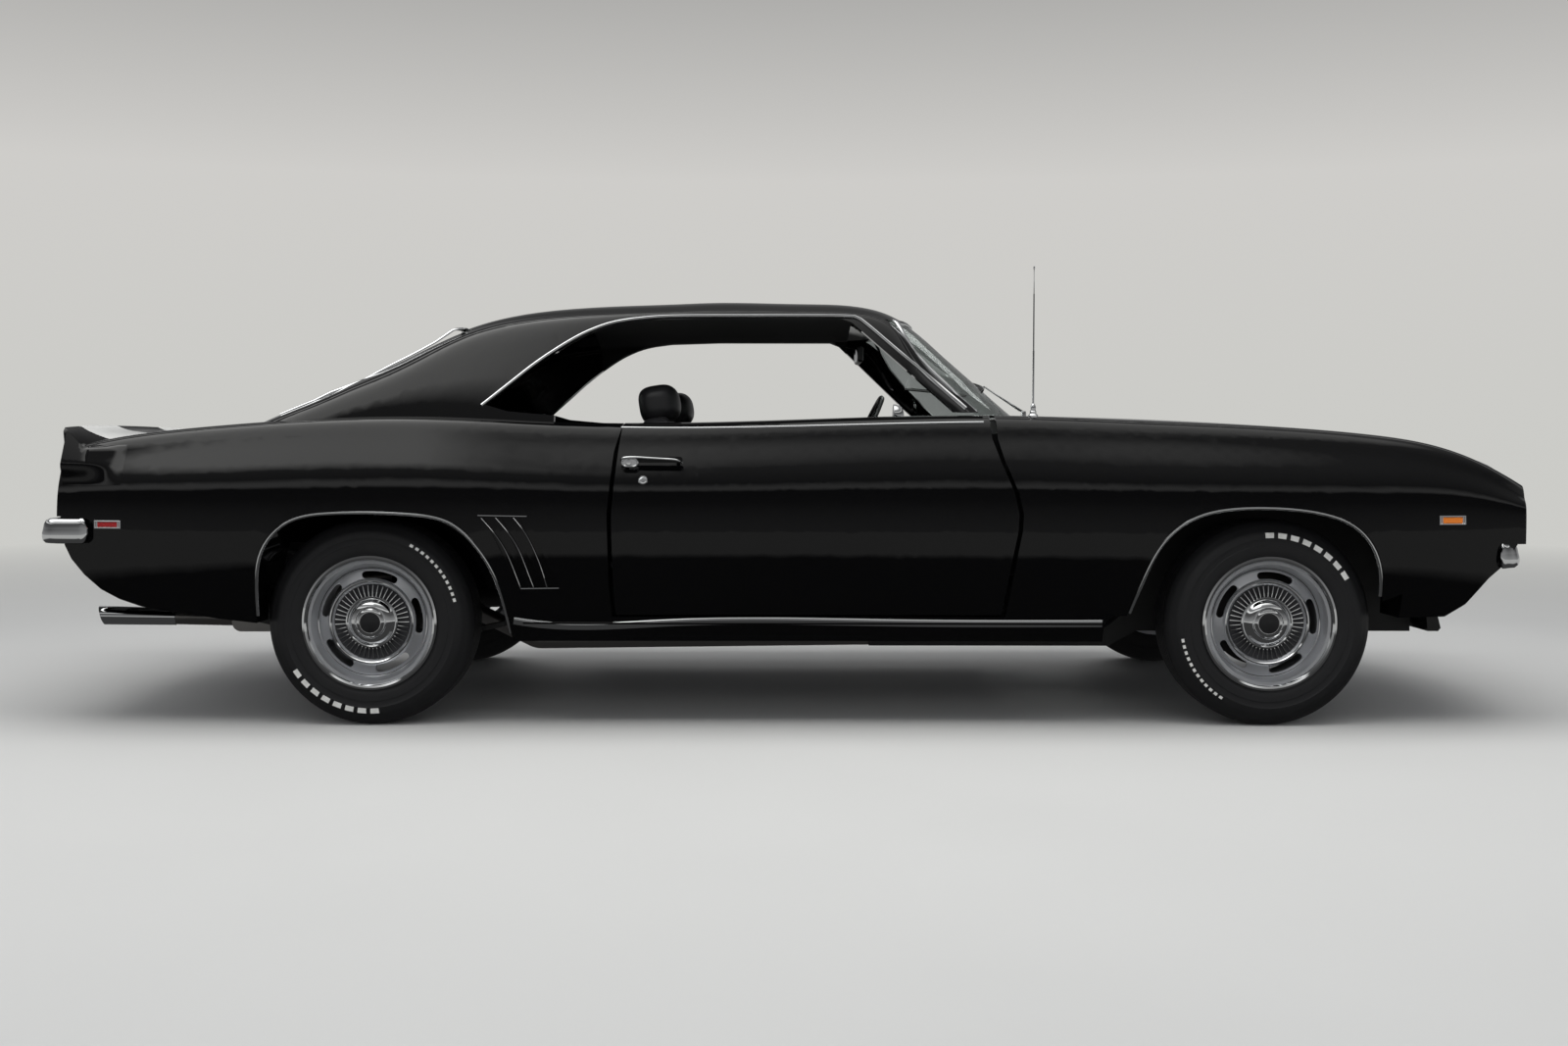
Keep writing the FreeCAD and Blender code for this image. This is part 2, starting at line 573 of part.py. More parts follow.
def make_body():
    """Painted panels and glass."""
    parts = {}
    outer = body_solid(0)
    hollow = body_solid(SKIN)
    skin = outer.common(plan_prism()).cut([prism_xz(UNDER, -1100, 1100)])
    shell = skin.cut([hollow])
    wells, liners = wheel_wells()
    inner_space = hollow.cut(liners)
    lid_core = body_solid(LID_THICK)

    # hood and deck lid
    hood = skin.common(lid_plan(HOOD_REAR_X, HOOD_FRONT_X, FENDER_TOP, 0, 700, 1100)).cut([lid_core])
    thin = body_solid(HOOD_LIP).common(box(HOOD_REAR_X - 50, HOOD_REAR_X + HOOD_LIP_LONG, -1000, 1000, 700, 1100))
    hood = keep_big(hood.cut([thin]))
    arm = goose_arm(HOOD_HINGE_X, HOOD_HINGE_Z, 160, HOOD_ARM_Y, ARM_WIDTH)
    parts["hood"] = fuse([hood] + [a.common(outer) for a in both(arm)])
    deck = skin.common(lid_plan(DECK_FRONT_X, DECK_REAR_X, QUARTER_TOP, 0, 700, 1100)).cut([lid_core])
    arm = goose_arm(DECK_HINGE_X, DECK_HINGE_Z, -160, DECK_ARM_Y, ARM_WIDTH)
    spoiler = spoiler_block()
    lid_half = crest_y(DECK_REAR_X) - QUARTER_TOP
    tail_zone = box(-2500, DECK_REAR_X, -1000, 1000, 500, 1000)
    middle = spoiler.common(box(-2500, -2000, -lid_half, lid_half, 700, 1100))
    middle = middle.cut([hollow, body_solid(-SWING_ROOM).common(tail_zone)])
    parts["decklid"] = keep_big(fuse([deck, keep_big(middle)] + [a.common(outer) for a in both(arm)]))

    # fenders
    front_zone = prism_xz([(594, 1100), (600, 880), (618, 812), (656, 715), (669, 652), (666, 600), (646, 500),
                           (620, DOOR_SILL_Z), (620, 200), (2500, 200), (2500, 1100)], -1100, 0)
    hood_space = lid_plan(500, HOOD_FRONT_X + GAP, FENDER_TOP, GAP, 100, 1200)
    nose_space = box(HOOD_FRONT_X, 2500, -NOSE_PANEL_HALF, 1000, 100, 1200)
    rocker_zone = box(600, 985, -1100, 0, 200, DOOR_SILL_Z + FIT)
    fender = skin.common(front_zone).cut([inner_space, hood_space, nose_space, rocker_zone] + wells)
    parts["fender_right"] = keep_big(fender)
    parts["fender_left"] = mirror(parts["fender_right"])

    # nose panel ahead of the hood
    half = NOSE_PANEL_HALF - FIT
    parts["nose_panel"] = keep_big(shell.common(box(HOOD_FRONT_X + GAP, 2400, -half, half, 735, 1000)))

    # doors
    parts["door_right"] = make_door(skin)
    parts["door_left"] = mirror(parts["door_right"])

    # rocker panels between the arches
    rocker = skin.common(box(-880, 985, -1100, -FLOOR_HALF - FIT, 200, DOOR_SILL_Z)).cut(wells)
    parts["rocker_panels"] = keep_all(both(keep_big(rocker)))

    # quarters, with their door jambs, gills and spoiler ends
    edge = [(-546, 1100), (-546, 912), (-566, 840), (-582, 652), (-577, 429), (-571, DOOR_SILL_Z + FIT)]
    rear_zone = prism_xz(edge + [(-886, DOOR_SILL_Z + FIT), (-886, 200), (-2500, 200), (-2500, 1100)], -1100, 0)
    deck_space = lid_plan(-1300, -2500, QUARTER_TOP, GAP, 100, 1200)
    cabin_space = box(-1300, -300, -BELT_Y + 30, 1000, 700, 1200)
    jamb = prism_xz(edge[1:] + [(x - SKIN, z) for x, z in reversed(edge[1:])], -1100, -FLOOR_HALF)
    axle_space = box(-1640, -885, -REAR_WELL_Y - 12, -REAR_WELL_Y + 20, 200, 400)
    quarter = skin.common(rear_zone).cut([inner_space, deck_space, cabin_space, axle_space] + wells)
    quarter = fuse([keep_big(quarter), skin.common(jamb)])
    gills = [prism_xz([(a, GILL_TOP_Z), (a + GILL_WIDTH, GILL_TOP_Z), (b + GILL_WIDTH, GILL_BOTTOM_Z),
                       (b, GILL_BOTTOM_Z)], -1000, -800) for a, b in zip(GILL_TOP_X, GILL_BOTTOM_X)]
    core = body_solid(GILL_DEEP)
    quarter = quarter.cut([g.cut([core]) for g in gills])
    cap = spoiler.common(box(-2500, -2000, -1000, -lid_half - 2 * GAP, 700, 1100))
    cap = cap.common(outer.translated(V(0, 0, SPOILER_SIDE_LIFT)))
    cap = keep_big(cap.cut([hollow.common(plan_prism())]))

    # greenhouse: sail panels, roof, windshield pillars and glass
    opening = prism_xz(SIDE_OPENING, -1100, 1100)
    front_frame = prism_yz(WINDSHIELD, 150, 1000)
    rear_frame = prism_yz(REAR_GLASS, -2000, -1000)
    frame = greenhouse(0).cut([greenhouse(ROOF_THICK)]).cut([opening, front_frame, rear_frame])
    glass = greenhouse(GLASS_SET).cut([greenhouse(GLASS_SET + GLASS)]).cut([outer])
    parts["windshield"] = keep_big(glass.common(front_frame))
    parts["rear_window"] = keep_big(glass.common(rear_frame))
    pillars = frame.common(box(ROOF_FRONT_X, 900, -1000, 1000, 900, 1500))
    pillars = pillars.cut([box(300, 590, -1000, 1000, 900, 961), outer])
    parts["roof_panel"] = keep_big(frame.common(box(ROOF_REAR_X, ROOF_FRONT_X, -1000, 1000, 900, 1500)))
    sail = keep_big(frame.common(box(-2100, ROOF_REAR_X, -1000, 0, 900, 1500)))
    parts["quarter_right"] = keep_big(quarter.fuse([sail, cap]))
    parts["quarter_left"] = mirror(parts["quarter_right"])
    parts["pillars"] = keep_all(s for s in pillars.Solids if s.Volume > 1e5)

    # cowl and package shelf between glass and lids
    between_fenders = lid_plan(500, HOOD_FRONT_X + GAP, FENDER_TOP, GAP - FIT, 800, 1100)
    cowl = shell.common(box(590, HOOD_REAR_X - REAR_HOOD_GAP, -1000, 1000, 800, 1100)).common(between_fenders)
    cowl = keep_big(cowl.cut([greenhouse(-FIT)]))
    vents = []
    for i in range(VENTS):
        y = VENT_START_Y + i * VENT_PITCH
        vents += both(box(VENT_X, VENT_X + VENT_LONG, y, y + VENT_WIDE, 800, 1100))
    parts["cowl"] = keep_big(cowl.cut(vents))
    shelf_half = crest_y(-1700) - QUARTER_TOP + GAP - FIT
    shelf = shell.common(box(DECK_FRONT_X + DECK_FRONT_GAP, -1352, -shelf_half, shelf_half, 800, 1100))
    shelf = shelf.common(lid_plan(-1300, -2500, QUARTER_TOP, GAP - FIT, 100, 1200))
    glass_cut = [parts["quarter_right"], parts["quarter_left"]]
    pivots = [p.common(body_solid(SKIN / 2)) for p in both(lid_pivot(DECK_HINGE_X, DECK_HINGE_Z, DECK_ARM_Y,
                                                                     ARM_WIDTH))]
    parts["rear_deck"] = keep_big(fuse([shelf] + pivots).cut(glass_cut))

    # tail panel between the quarters
    band = arc_band(TAIL_CORNER_X + 4, TAIL_MID_X + 1, END_HALF, END_PANEL, 560, 1000)
    lid_room = box(DECK_REAR_X - GAP, -2100, -lid_half - GAP, lid_half + GAP, 800, 1200)
    parts["tail_panel"] = keep_big(band.common(body_solid(SKIN + FIT)).cut([lid_room]))
    return parts


def tyre(x, y):
    """Tyre standing at x, y."""
    w = TYRE_WIDTH / 2
    profile = [(RIM_R + FIT, -w + 14), (RIM_R + 62, -w), (TYRE_R - 14, -w + 12), (TYRE_R, -w + 42),
               (TYRE_R, w - 42), (TYRE_R - 14, w - 12), (RIM_R + 62, w), (RIM_R + FIT, w - 14)]
    shape = revolve_y(profile)
    shape.translate(V(x, y, TYRE_R))
    return shape


def slot_block(i):
    """Curved slot with round ends, the i-th round the wheel, as a cutter."""
    inner, outer, spread = 140.0, 166.0, 17.0
    a = math.radians(90 + 360.0 / WHEEL_SLOTS * i)
    d = math.radians(spread)
    point = lambda r, t: V(r * math.cos(a + t), 0, r * math.sin(a + t))
    mid = (inner + outer) / 2
    edges = [Part.Arc(point(inner, -d), point(inner, 0), point(inner, d)).toShape(),
             Part.Arc(point(inner, d), point(mid, d * 1.2), point(outer, d)).toShape(),
             Part.Arc(point(outer, d), point(outer, 0), point(outer, -d)).toShape(),
             Part.Arc(point(outer, -d), point(mid, -d * 1.2), point(inner, -d)).toShape()]
    return Part.Face(Part.Wire(edges)).extrude(V(0, 80, 0))


def wheel(x, y, sign):
    """Slotted steel wheel, stepped trim ring and finned centre cap; the outer side faces sign * Y."""
    w = RIM_WIDTH / 2
    barrel = revolve_y([(RIM_R, -w + 10), (RIM_R + FLANGE, -w + 8), (RIM_R + FLANGE, -w), (RIM_R - 8, -w),
                        (RIM_R - 26, -w + 40), (RIM_R - 26, w - 50), (RIM_R - 8, w - 4), (RIM_R + FLANGE, w - 4),
                        (RIM_R + FLANGE, w - 10), (RIM_R, w - 10), (RIM_R - 16, w - 52), (RIM_R - 16, -w + 42)])
    ring_trim = revolve_y([(RIM_R + FLANGE, w - 4), (RIM_R + FLANGE - 2, w + 3), (RIM_R + 2, w + 4), (RIM_R - 6, w - 6),
                           (RIM_R - 14, w - 14), (RIM_R - 18, w - 34), (RIM_R - 22, w - 34), (RIM_R - 16, w - 6)])
    dish = revolve_y([(HUB_R, 20), (84, 20), (100, 40), (126, 52), (150, 44), (RIM_R - 20, 26), (RIM_R - 20, 18),
                      (148, 36), (126, 44), (104, 33), (88, 12), (HUB_R, 12)])
    studs = []
    for i in range(STUDS):
        a = 2 * math.pi * i / STUDS
        place = V(HUB_PCD / 2 * math.cos(a), 0, HUB_PCD / 2 * math.sin(a))
        studs.append(Part.makeCylinder(STUD_R + 0.5, 40, place, V(0, 1, 0)))
    dish = dish.cut([slot_block(i) for i in range(WHEEL_SLOTS)] + studs)
    cap = revolve_y([(0, 34), (CAP_R, 34), (CAP_R + 5, 40), (CAP_R, 50), (86, 52), (78, 46), (50, 54), (44, 70),
                     (32, 80), (0, 86)])
    fins = []
    for i in range(CAP_FINS):
        fin = Part.makeBox(30, 12, 4, V(50, 42, -2))
        fin.rotate(V(0, 0, 0), V(0, 1, 0), 360.0 / CAP_FINS * i)
        fins.append(fin)
    shape = fuse([barrel, ring_trim, dish, cap] + fins)
    if sign < 0:
        shape = mirror(shape)
    shape.translate(V(x, y, TYRE_R))
    return shape


def make_front(fenders, shell_space):
    """Front bumper, valance, grille, headlamps and parking lamps."""
    p = {}
    blade = arc_band(2196, DRAWN_HALF_LENGTH, 838, BUMPER_DEPTH, 486, 563)
    soft = [e for e in blade.Edges if e.BoundBox.YLength > 1000 and e.BoundBox.XMax > along(DRAWN_HALF_LENGTH) - 2]
    blade = blade.makeFillet(20, soft)
    wings = both(prism_xy([(2200, -838), (2164, -868), (2128, -876), (2128, -868), (2158, -860), (2190, -828)],
                          494, 555))
    brackets = [box(2080, 2330, y - 22, y + 22, 500, 545) for y in (-420, 420)]
    p["front_bumper"] = keep_big(fuse([blade] + wings + brackets).cut(fenders))

    def valance_wire(y, dx):
        pts = [(2128 + dx, 480), (2094 + dx, 456), (2030 + dx, 377), (1992 + dx, 348), (1966 + dx * 0.6, 339),
               (1966 + dx * 0.6, 347), (1988 + dx, 356), (2023 + dx, 386), (2087 + dx, 464), (2121 + dx, 488)]
        return Part.makePolygon([at(x, y, z) for x, z in pts + pts[:1]])

    valance = Part.makeLoft([valance_wire(y, 150 * (1 - (y / 800.0) ** 2)) for y in (-800, -400, 0, 400, 800)],
                            True, False)
    dam = prism_xz([(2044, 372), (2070, 272), (2062, 262), (2028, 262), (2018, 356)], -560, 560)
    lamps = both(box(2120, 2208, -560, -470, 398, 440))
    window = both(box(2040, 2400, -560 - FIT, -470 + FIT, 398 - FIT, 440 + FIT))
    throat = box(2080, 2400, -360, 360, 392, 448)
    straps = [box(2080, 2100, y - 24, y + 24, 440, 500 - FIT) for y in (-420, 420)]
    p["front_valance"] = keep_big(fuse([valance, dam] + straps).cut(window + [throat]))
    trims = [l.common(valance.translated(V(6, 0, 0))) for l in lamps]

    band = arc_band(NOSE_CORNER_X - 42, NOSE_MID_X - 34, END_HALF, END_PANEL, 566, 900).common(shell_space)
    z0, z1 = GRILLE_Z
    opening = box(2200, 2330, -GRILLE_HALF, GRILLE_HALF, z0, z1)
    cups = both(cyl(2000, -HEADLAMP_Y, HEADLAMP_Z, HEADLAMP_R + FIT, 400, (1, 0, 0)))
    bars = []
    cell = 2 * GRILLE_HALF / GRILLE_COLUMNS
    for i in range(1, GRILLE_COLUMNS):
        y = -GRILLE_HALF + i * cell
        bars.append(box(2080, 2400, y - GRILLE_BAR / 2, y + GRILLE_BAR / 2, z0 - 2, z1 + 2))
    for i in range(1, GRILLE_ROWS):
        z = z0 + (z1 - z0) * i / GRILLE_ROWS
        bars.append(box(2080, 2400, -GRILLE_HALF - 2, GRILLE_HALF + 2, z - GRILLE_BAR / 2, z + GRILLE_BAR / 2))
    mesh = arc_band(NOSE_CORNER_X - 46, NOSE_MID_X - 38, END_HALF, END_PANEL - 6, 566, 900)
    p["grille"] = keep_big(fuse([band.cut([opening] + cups), mesh.common(fuse(bars))]))
    rims = []
    for s in (-1, 1):
        y = s * HEADLAMP_Y
        bowl = cyl(2110, y, HEADLAMP_Z, HEADLAMP_R - 8, 86, (1, 0, 0))
        lens = Part.makeSphere(180, at(2226 - 180, y, HEADLAMP_Z))
        lens = lens.common(cyl(2180, y, HEADLAMP_Z, HEADLAMP_R - 8, 60, (1, 0, 0)))
        bezel = cyl(2160, y, HEADLAMP_Z, HEADLAMP_R, 62, (1, 0, 0))
        bezel = bezel.cut([cyl(2150, y, HEADLAMP_Z, HEADLAMP_R - 8, 90, (1, 0, 0))])
        rims.append(fuse([bowl, lens, bezel]))
    p["headlamps"] = keep_all([s for r in rims + trims for s in r.Solids])
    return p


def make_rear(tail):
    """Rear bumper, tail lamps and lower rear panel."""
    p = {}
    blade = arc_band(-2300, -DRAWN_HALF_LENGTH, 872, BUMPER_DEPTH - 6, 558, 634)
    soft = [e for e in blade.Edges if e.BoundBox.YLength > 1000 and e.BoundBox.XMin < -along(DRAWN_HALF_LENGTH) + 2]
    blade = blade.makeFillet(18, soft)
    wings = both(prism_xy([(-2300, -872), (-2262, -884), (-2155, -894), (-2155, -886), (-2262, -874), (-2290, -860)],
                          563, 629))
    brackets = [box(-2330, -2262, y - 22, y + 22, 566, 618) for y in (-420, 420)]
    p["rear_bumper"] = keep_big(fuse([blade] + wings + brackets).cut([tail]))
    y0, y1 = LAMP_Y
    z0, z1 = LAMP_Z
    band = arc_band(TAIL_CORNER_X + 2, TAIL_MID_X - 9, END_HALF, 14, z0, z1)
    cell = (y1 - y0) / LAMP_CELLS
    lamps = []
    for i in range(LAMP_CELLS):
        lamps.append(band.common(box(-2400, -2200, -y1 + i * cell + 2, -y1 + (i + 1) * cell - 2, z0, z1)))
    frame = arc_band(TAIL_CORNER_X + 2, TAIL_MID_X - 5, END_HALF, 10, z0 - 8, z1 + 8)
    frame = frame.common(box(-2400, -2200, -y1 - 8, -y0 + 8, 600, 800))
    lamp = keep_big(fuse([frame] + lamps).cut([tail]))
    p["tail_lamps"] = keep_all(both(lamp))
    slope = [(-2262, 560 - FIT), (-2238, 470), (-2180, 420), (-2172, 428), (-2228, 478), (-2250, 560 - FIT)]
    p["rear_valance"] = prism_xz(slope, -600, 600)
    return p


def side_markers(outer, grown):
    """Four small lamps standing 4 mm proud of fenders and quarters."""
    marks = []
    for x0, x1, z0, z1 in ((-2134, -2051, 604, 628), (1925, 2008, 620, 647)):
        marks += both(both_ends_round(x0, x1, z0, z1).extrude(V(0, -300, 0)).translated(V(0, -700, 0)))
    return keep_all([s for m in marks for s in m.common(grown).cut([outer]).Solids])


def make_floor(shelf_space):
    """Floor pan with rear seat steps and trunk floor; fire wall with hinge posts and hood pivots."""
    tunnel = 150.0
    z = SILL_Z
    half = FLOOR_HALF
    rear_half = REAR_WELL_Y - LINER - FIT
    wall_x = DASH_WALL_X
    floor = box(-800, wall_x, -half, half, z, z + FLOOR_THICK)
    tunnel_out = box(-800, wall_x, -tunnel, tunnel, z, 440)
    tunnel_in = box(-801, wall_x + 30, -tunnel + SHEET, tunnel - SHEET, 200, 440 - SHEET)
    fire_wall = wall(wall_x + DASH_WALL, DASH_WALL, -half + 4, half - 4, z, 1000)
    pan = fuse([floor, tunnel_out]).cut([tunnel_in])
    rise = wall(-800, SHEET, -rear_half, rear_half, z, 408)
    rise = rise.cut([box(-809, -799, -tunnel + SHEET, tunnel - SHEET, 200, 399)])
    steps = [box(-1108, -800, -rear_half, rear_half, 400, 408), wall(-1100, SHEET, -rear_half, rear_half, 400, 520),
             box(-1650, -1100, -rear_half, rear_half, 512, 520), wall(-1650, SHEET, -rear_half, rear_half, 470, 520),
             box(-2218, -1650, -rear_half, rear_half, 470, 478), wall(-1352, SHEET, -rear_half, rear_half, 520, 920)]
    posts = both(box(640, wall_x + DASH_WALL, -706, -half + 8, DOOR_SILL_Z + FIT, 900))
    leaves = [l for h in DOOR_HINGE_Z for l in both(hinge_leaf(h))]
    pivots = [p for p in both(lid_pivot(HOOD_HINGE_X, HOOD_HINGE_Z, HOOD_ARM_Y, ARM_WIDTH))]
    links = both(box(wall_x + DASH_WALL - 4, HOOD_HINGE_X - 10, HOOD_ARM_Y + ARM_WIDTH / 2 + FIT,
                     HOOD_ARM_Y + ARM_WIDTH / 2 + FIT + SHEET, HOOD_HINGE_Z - 80, HOOD_HINGE_Z + 60))
    pan = fuse([pan, rise] + steps).common(shelf_space)
    upright = fuse([fire_wall.cut([tunnel_in])] + posts + pivots + links).common(shelf_space)
    return keep_big(pan), keep_big(fuse([upright] + leaves))


def side_trims(space, liners):
    """Panels beside the rear seat and the upper door posts behind the doors."""
    panel = box(-1352 - SHEET, -590, -FLOOR_HALF - 6, -FLOOR_HALF, DOOR_SILL_Z, 985).common(space)
    return keep_all(both(keep_big(panel.cut(liners))))


def make_chassis():
    """Frame, running gear and exhaust: what shows from below."""
    p = {}
    kingpin = FRONT_TRACK / 2 - KINGPIN_IN
    low_arm, high_arm = TYRE_R - 120, TYRE_R + 108
    rail = prism_xz([(230, 200), (230, 261.7), (1010, 261.7), (1100, 330), (2012, 330), (2012, 250), (1110, 250),
                     (1020, 200)], -450, -390)
    cross = box(1330, 1530, -390, 390, 180, 250)
    rear_cross = box(240, 330, -390, 390, 236, 259.7)
    mounts = both(box(1150, 1220, -390, -240.3, 300, 330))
    tower = box(1370, 1490, -450, -390, 330, 470)
    lower_arm = prism_xy([(1320, -400), (1405, -kingpin), (1455, -kingpin), (1540, -400)], low_arm, low_arm + 18)
    upper_arm = prism_xy([(1350, -420), (1405, -kingpin), (1455, -kingpin), (1510, -420)], high_arm, high_arm + 12)
    eyes = [cyl(DRAWN_FRONT_AXLE, -kingpin, low_arm, 28, 18, (0, 0, 1)),
            cyl(DRAWN_FRONT_AXLE, -kingpin, high_arm, 28, 12, (0, 0, 1))]
    hole = cyl(DRAWN_FRONT_AXLE, -kingpin, low_arm - 20, PIN_R * 2 + FIT, 300, (0, 0, 1))
    hooks = [cyl(1960 + s * 30, -420, 240, 6.5, 100, (0, 0, 1)) for s in (-1, 1)]
    half = fuse([rail, tower, lower_arm, upper_arm] + eyes).cut([hole] + hooks)
    p["front_subframe"] = fuse([half, mirror(half), cross, rear_cross] + mounts)

    well_wall = box(DASH_WALL_X + DASH_WALL + FIT, 2000, -FRONT_WELL_Y + 5.3, -FRONT_WELL_Y + 12, 331, 850)
    well_wall = well_wall.cut([box(1330, 1530, -480, -440, 300, 480)])
    support = box(2000, 2012, -560, 560, 330.3, 830).cut([box(1990, 2020, -330, 330, 380, 780)])
    core = box(1990, 2022, -330, 330, 380, 780)
    p["inner_fenders"] = fuse([well_wall, mirror(well_wall), support, core])

    block = box(960, 1480, -240, 240, 300, 700)
    gearbox = cyl(300, 0, 345, 85, 700, (1, 0, 0))
    p["engine_block"] = block.fuse([gearbox])

    ax, az = DRAWN_REAR_AXLE, TYRE_R
    tube_y = REAR_TRACK / 2 - 50
    axle = cyl(ax, -tube_y, az, 38, 2 * tube_y, (0, 1, 0))
    diff = Part.makeSphere(112, at(ax, 0, az))
    drums = both(cyl(ax, -(REAR_TRACK / 2 + 11.7), az, 125, 62, (0, 1, 0)))
    hubs = both(cyl(ax, -(REAR_TRACK / 2 + 32), az, HUB_R - FIT, 60, (0, 1, 0)))
    pads = both(box(ax - 60, ax + 60, -598, -542, az - 62, az - 20))
    shaft = bar((ax + 90, 0, az), (290, 0, 345), 36)
    spring_pts = [(-830, 330), (-1000, 282), (ax, az - 60), (-1700, 300), (-2020, 400)]
    upper = curve_xz(spring_pts, -598)
    lower = curve_xz([(x, z - 16) for x, z in spring_pts], -598)
    ends = [Part.makeLine(at(x, -598, z), at(x, -598, z - 16)) for x, z in (spring_pts[0], spring_pts[-1])]
    leaf = Part.Face(Part.Wire(Part.sortEdges([upper, lower] + ends)[0])).extrude(V(0, 56, 0))
    hangers = [box(-850, -820, -598, -542, 305, 399.7), box(-2030, -2005, -598, -542, 375, 469.7)]
    springs = both(fuse([leaf] + hangers))
    p["leaf_springs"] = keep_all(springs)
    p["rear_axle"] = keep_big(fuse([axle, diff] + drums + hubs + pads + [shaft]).cut(springs))

    pipes = []
    for s in (-1, 1):
        pipes.append(pipe([(950, s * 205, 262), (800, s * 205, 208), (-880, s * 330, 202), (-1060, s * 380, 300),
                           (-1190, s * 430, 425), (-1440, s * 440, 425), (-1600, s * 430, 300),
                           (-1720, s * 420, 292)], 60, 27))
        pipes.append(pipe([(-1830, s * 460, 290), (-1980, s * 520, 300), (-2232, s * 560, 309)], 60, 25))
    muffler = box(-1850, -1690, -500, 500, 250, 335)
    muffler = muffler.makeFillet(30, [e for e in muffler.Edges if e.BoundBox.YLength > 900])
    straps = both(box(-1790, -1765, -470, -440, 320, 470 - FIT))
    p["exhaust"] = keep_big(fuse(pipes + [muffler] + straps))
    tank = box(-2140, -1820, -480, 480, 343, 470 - FIT)
    p["fuel_tank"] = tank.makeFillet(20, [e for e in tank.Edges if e.BoundBox.ZMax < 350])

    for name, s in (("right", -1), ("left", 1)):
        y = s * kingpin
        post = box(DRAWN_FRONT_AXLE - 22, DRAWN_FRONT_AXLE + 22, y - 22, y + 22, low_arm + 18.5, high_arm - 0.5)
        pin = cyl(DRAWN_FRONT_AXLE, y, low_arm - 8, PIN_R * 2, high_arm - low_arm + 28, (0, 0, 1))
        y_out = s * (FRONT_TRACK / 2 + 11.7)
        spindle = cyl(DRAWN_FRONT_AXLE, y, TYRE_R, 30, abs(y_out - y), (0, s, 0))
        face = cyl(DRAWN_FRONT_AXLE, y_out, TYRE_R, 70, 14, (0, -s, 0))
        hub = cyl(DRAWN_FRONT_AXLE, y_out, TYRE_R, HUB_R - FIT, 20, (0, s, 0))
        disc = cyl(DRAWN_FRONT_AXLE, s * (FRONT_TRACK / 2 - 51), TYRE_R, 140, 24, (0, s, 0))
        p["knuckle_" + name] = fuse([post, pin, spindle, face, hub, disc])
    return p


def seat_shape():
    """Right front bucket seat: cushion, raked back with rounded top, headrest and runners."""
    cushion = prism_xz([(112, 420), (118, 500), (80, 532), (-300, 492), (-400, 470), (-400, 320), (90, 320)], -640, -160)
    cushion = cushion.makeFillet(28, [e for e in cushion.Edges if e.BoundBox.XLength > 60])
    back = prism_xz([(-322, 480), (-420, 860), (-438, 925), (-470, 945), (-508, 930), (-520, 890), (-470, 480),
                     (-400, 440)], -620, -180)
    back = back.makeFillet(24, [e for e in back.Edges if e.BoundBox.ZLength > 60])
    head = box(-528, -408, -490, -310, 958, 1054)
    head = head.makeFillet(34, head.Edges)
    stem = box(-475, -460, -410, -390, 930, 970)
    runners = [box(-380, 80, y - 20, y + 20, SILL_Z + FLOOR_THICK, 330) for y in (-580, -220)]
    return fuse([cushion, back, head, stem] + runners)


def make_cabin():
    """Seats, dashboard and steering."""
    p = {}
    front = DASH_WALL_X - FIT
    dash = prism_xz([(front, 700), (560, 700), (500, 760), (490, 850), (530, 893), (front, 900)], -684, 684)
    x, y, z = STEER_CENTRE
    lean = math.radians(COLUMN_LEAN)
    d = (math.cos(lean), 0.0, -math.sin(lean))
    far = (x + 400 * d[0], y, z + 400 * d[2])
    near = (x + 19 * d[0], y, z + 19 * d[2])
    p["dashboard"] = fuse([dash, bar(near, far, COLUMN_R)])
    rim = Part.makeTorus(STEER_R, 11)
    spokes = [Part.makeBox(STEER_R, 28, 6, V(0, -14, -3)) for _ in range(3)]
    for i, s in enumerate(spokes):
        s.rotate(V(0, 0, 0), V(0, 0, 1), 90 + 120 * i)
    hub = Part.makeCylinder(46, 44, V(0, 0, -18))
    shape = fuse([rim, hub] + spokes)
    shape.rotate(V(0, 0, 0), V(0, 1, 0), -(90 - COLUMN_LEAN))
    shape.translate(at(x, y, z))
    p["steering_wheel"] = shape
    p["front_seats"] = keep_all(both(seat_shape()))
    bench = prism_xz([(-808 - FIT, 408 + FIT), (-806, 510), (-840, 556), (-1180, 552), (-1265, 830), (-1290, 860),
                      (-1352 + FIT, 870), (-1352 + FIT, 520 + FIT), (-1100 + FIT, 520 + FIT),
                      (-1100 + FIT, 408 + FIT)], -560, 560)
    p["rear_seat"] = bench
    return p


def make_trim(outer, windshield):
    """Antenna, wipers and the driver's mirror."""
    p = {}
    mast = bar((720, -748, 925), (720, -748, 1410), 3)
    base = cyl(720, -748, 900, 16, 46, (0, 0, 1))
    p["antenna"] = keep_big(mast.fuse([base]).cut([outer]))
    arms = []
    for y0, y1 in ((-330, -60), (200, 470)):
        pivot = cyl(752, y0, 900, 9, 72, (0, 0, 1))
        arm = fuse([pivot, bar((752, y0, 967), (652, y1, 1066), 5)])
        arms.append(keep_big(arm.cut([outer, windshield])))
    p["wipers"] = keep_all(arms)
    head = cyl(400, 932, 985, 46, 46, (1, 0, 0))
    stalk = bar((424, 932, 950), (424, 832, 872), 9)
    p["door_mirror"] = keep_big(head.fuse([stalk]).cut([outer]))
    return p


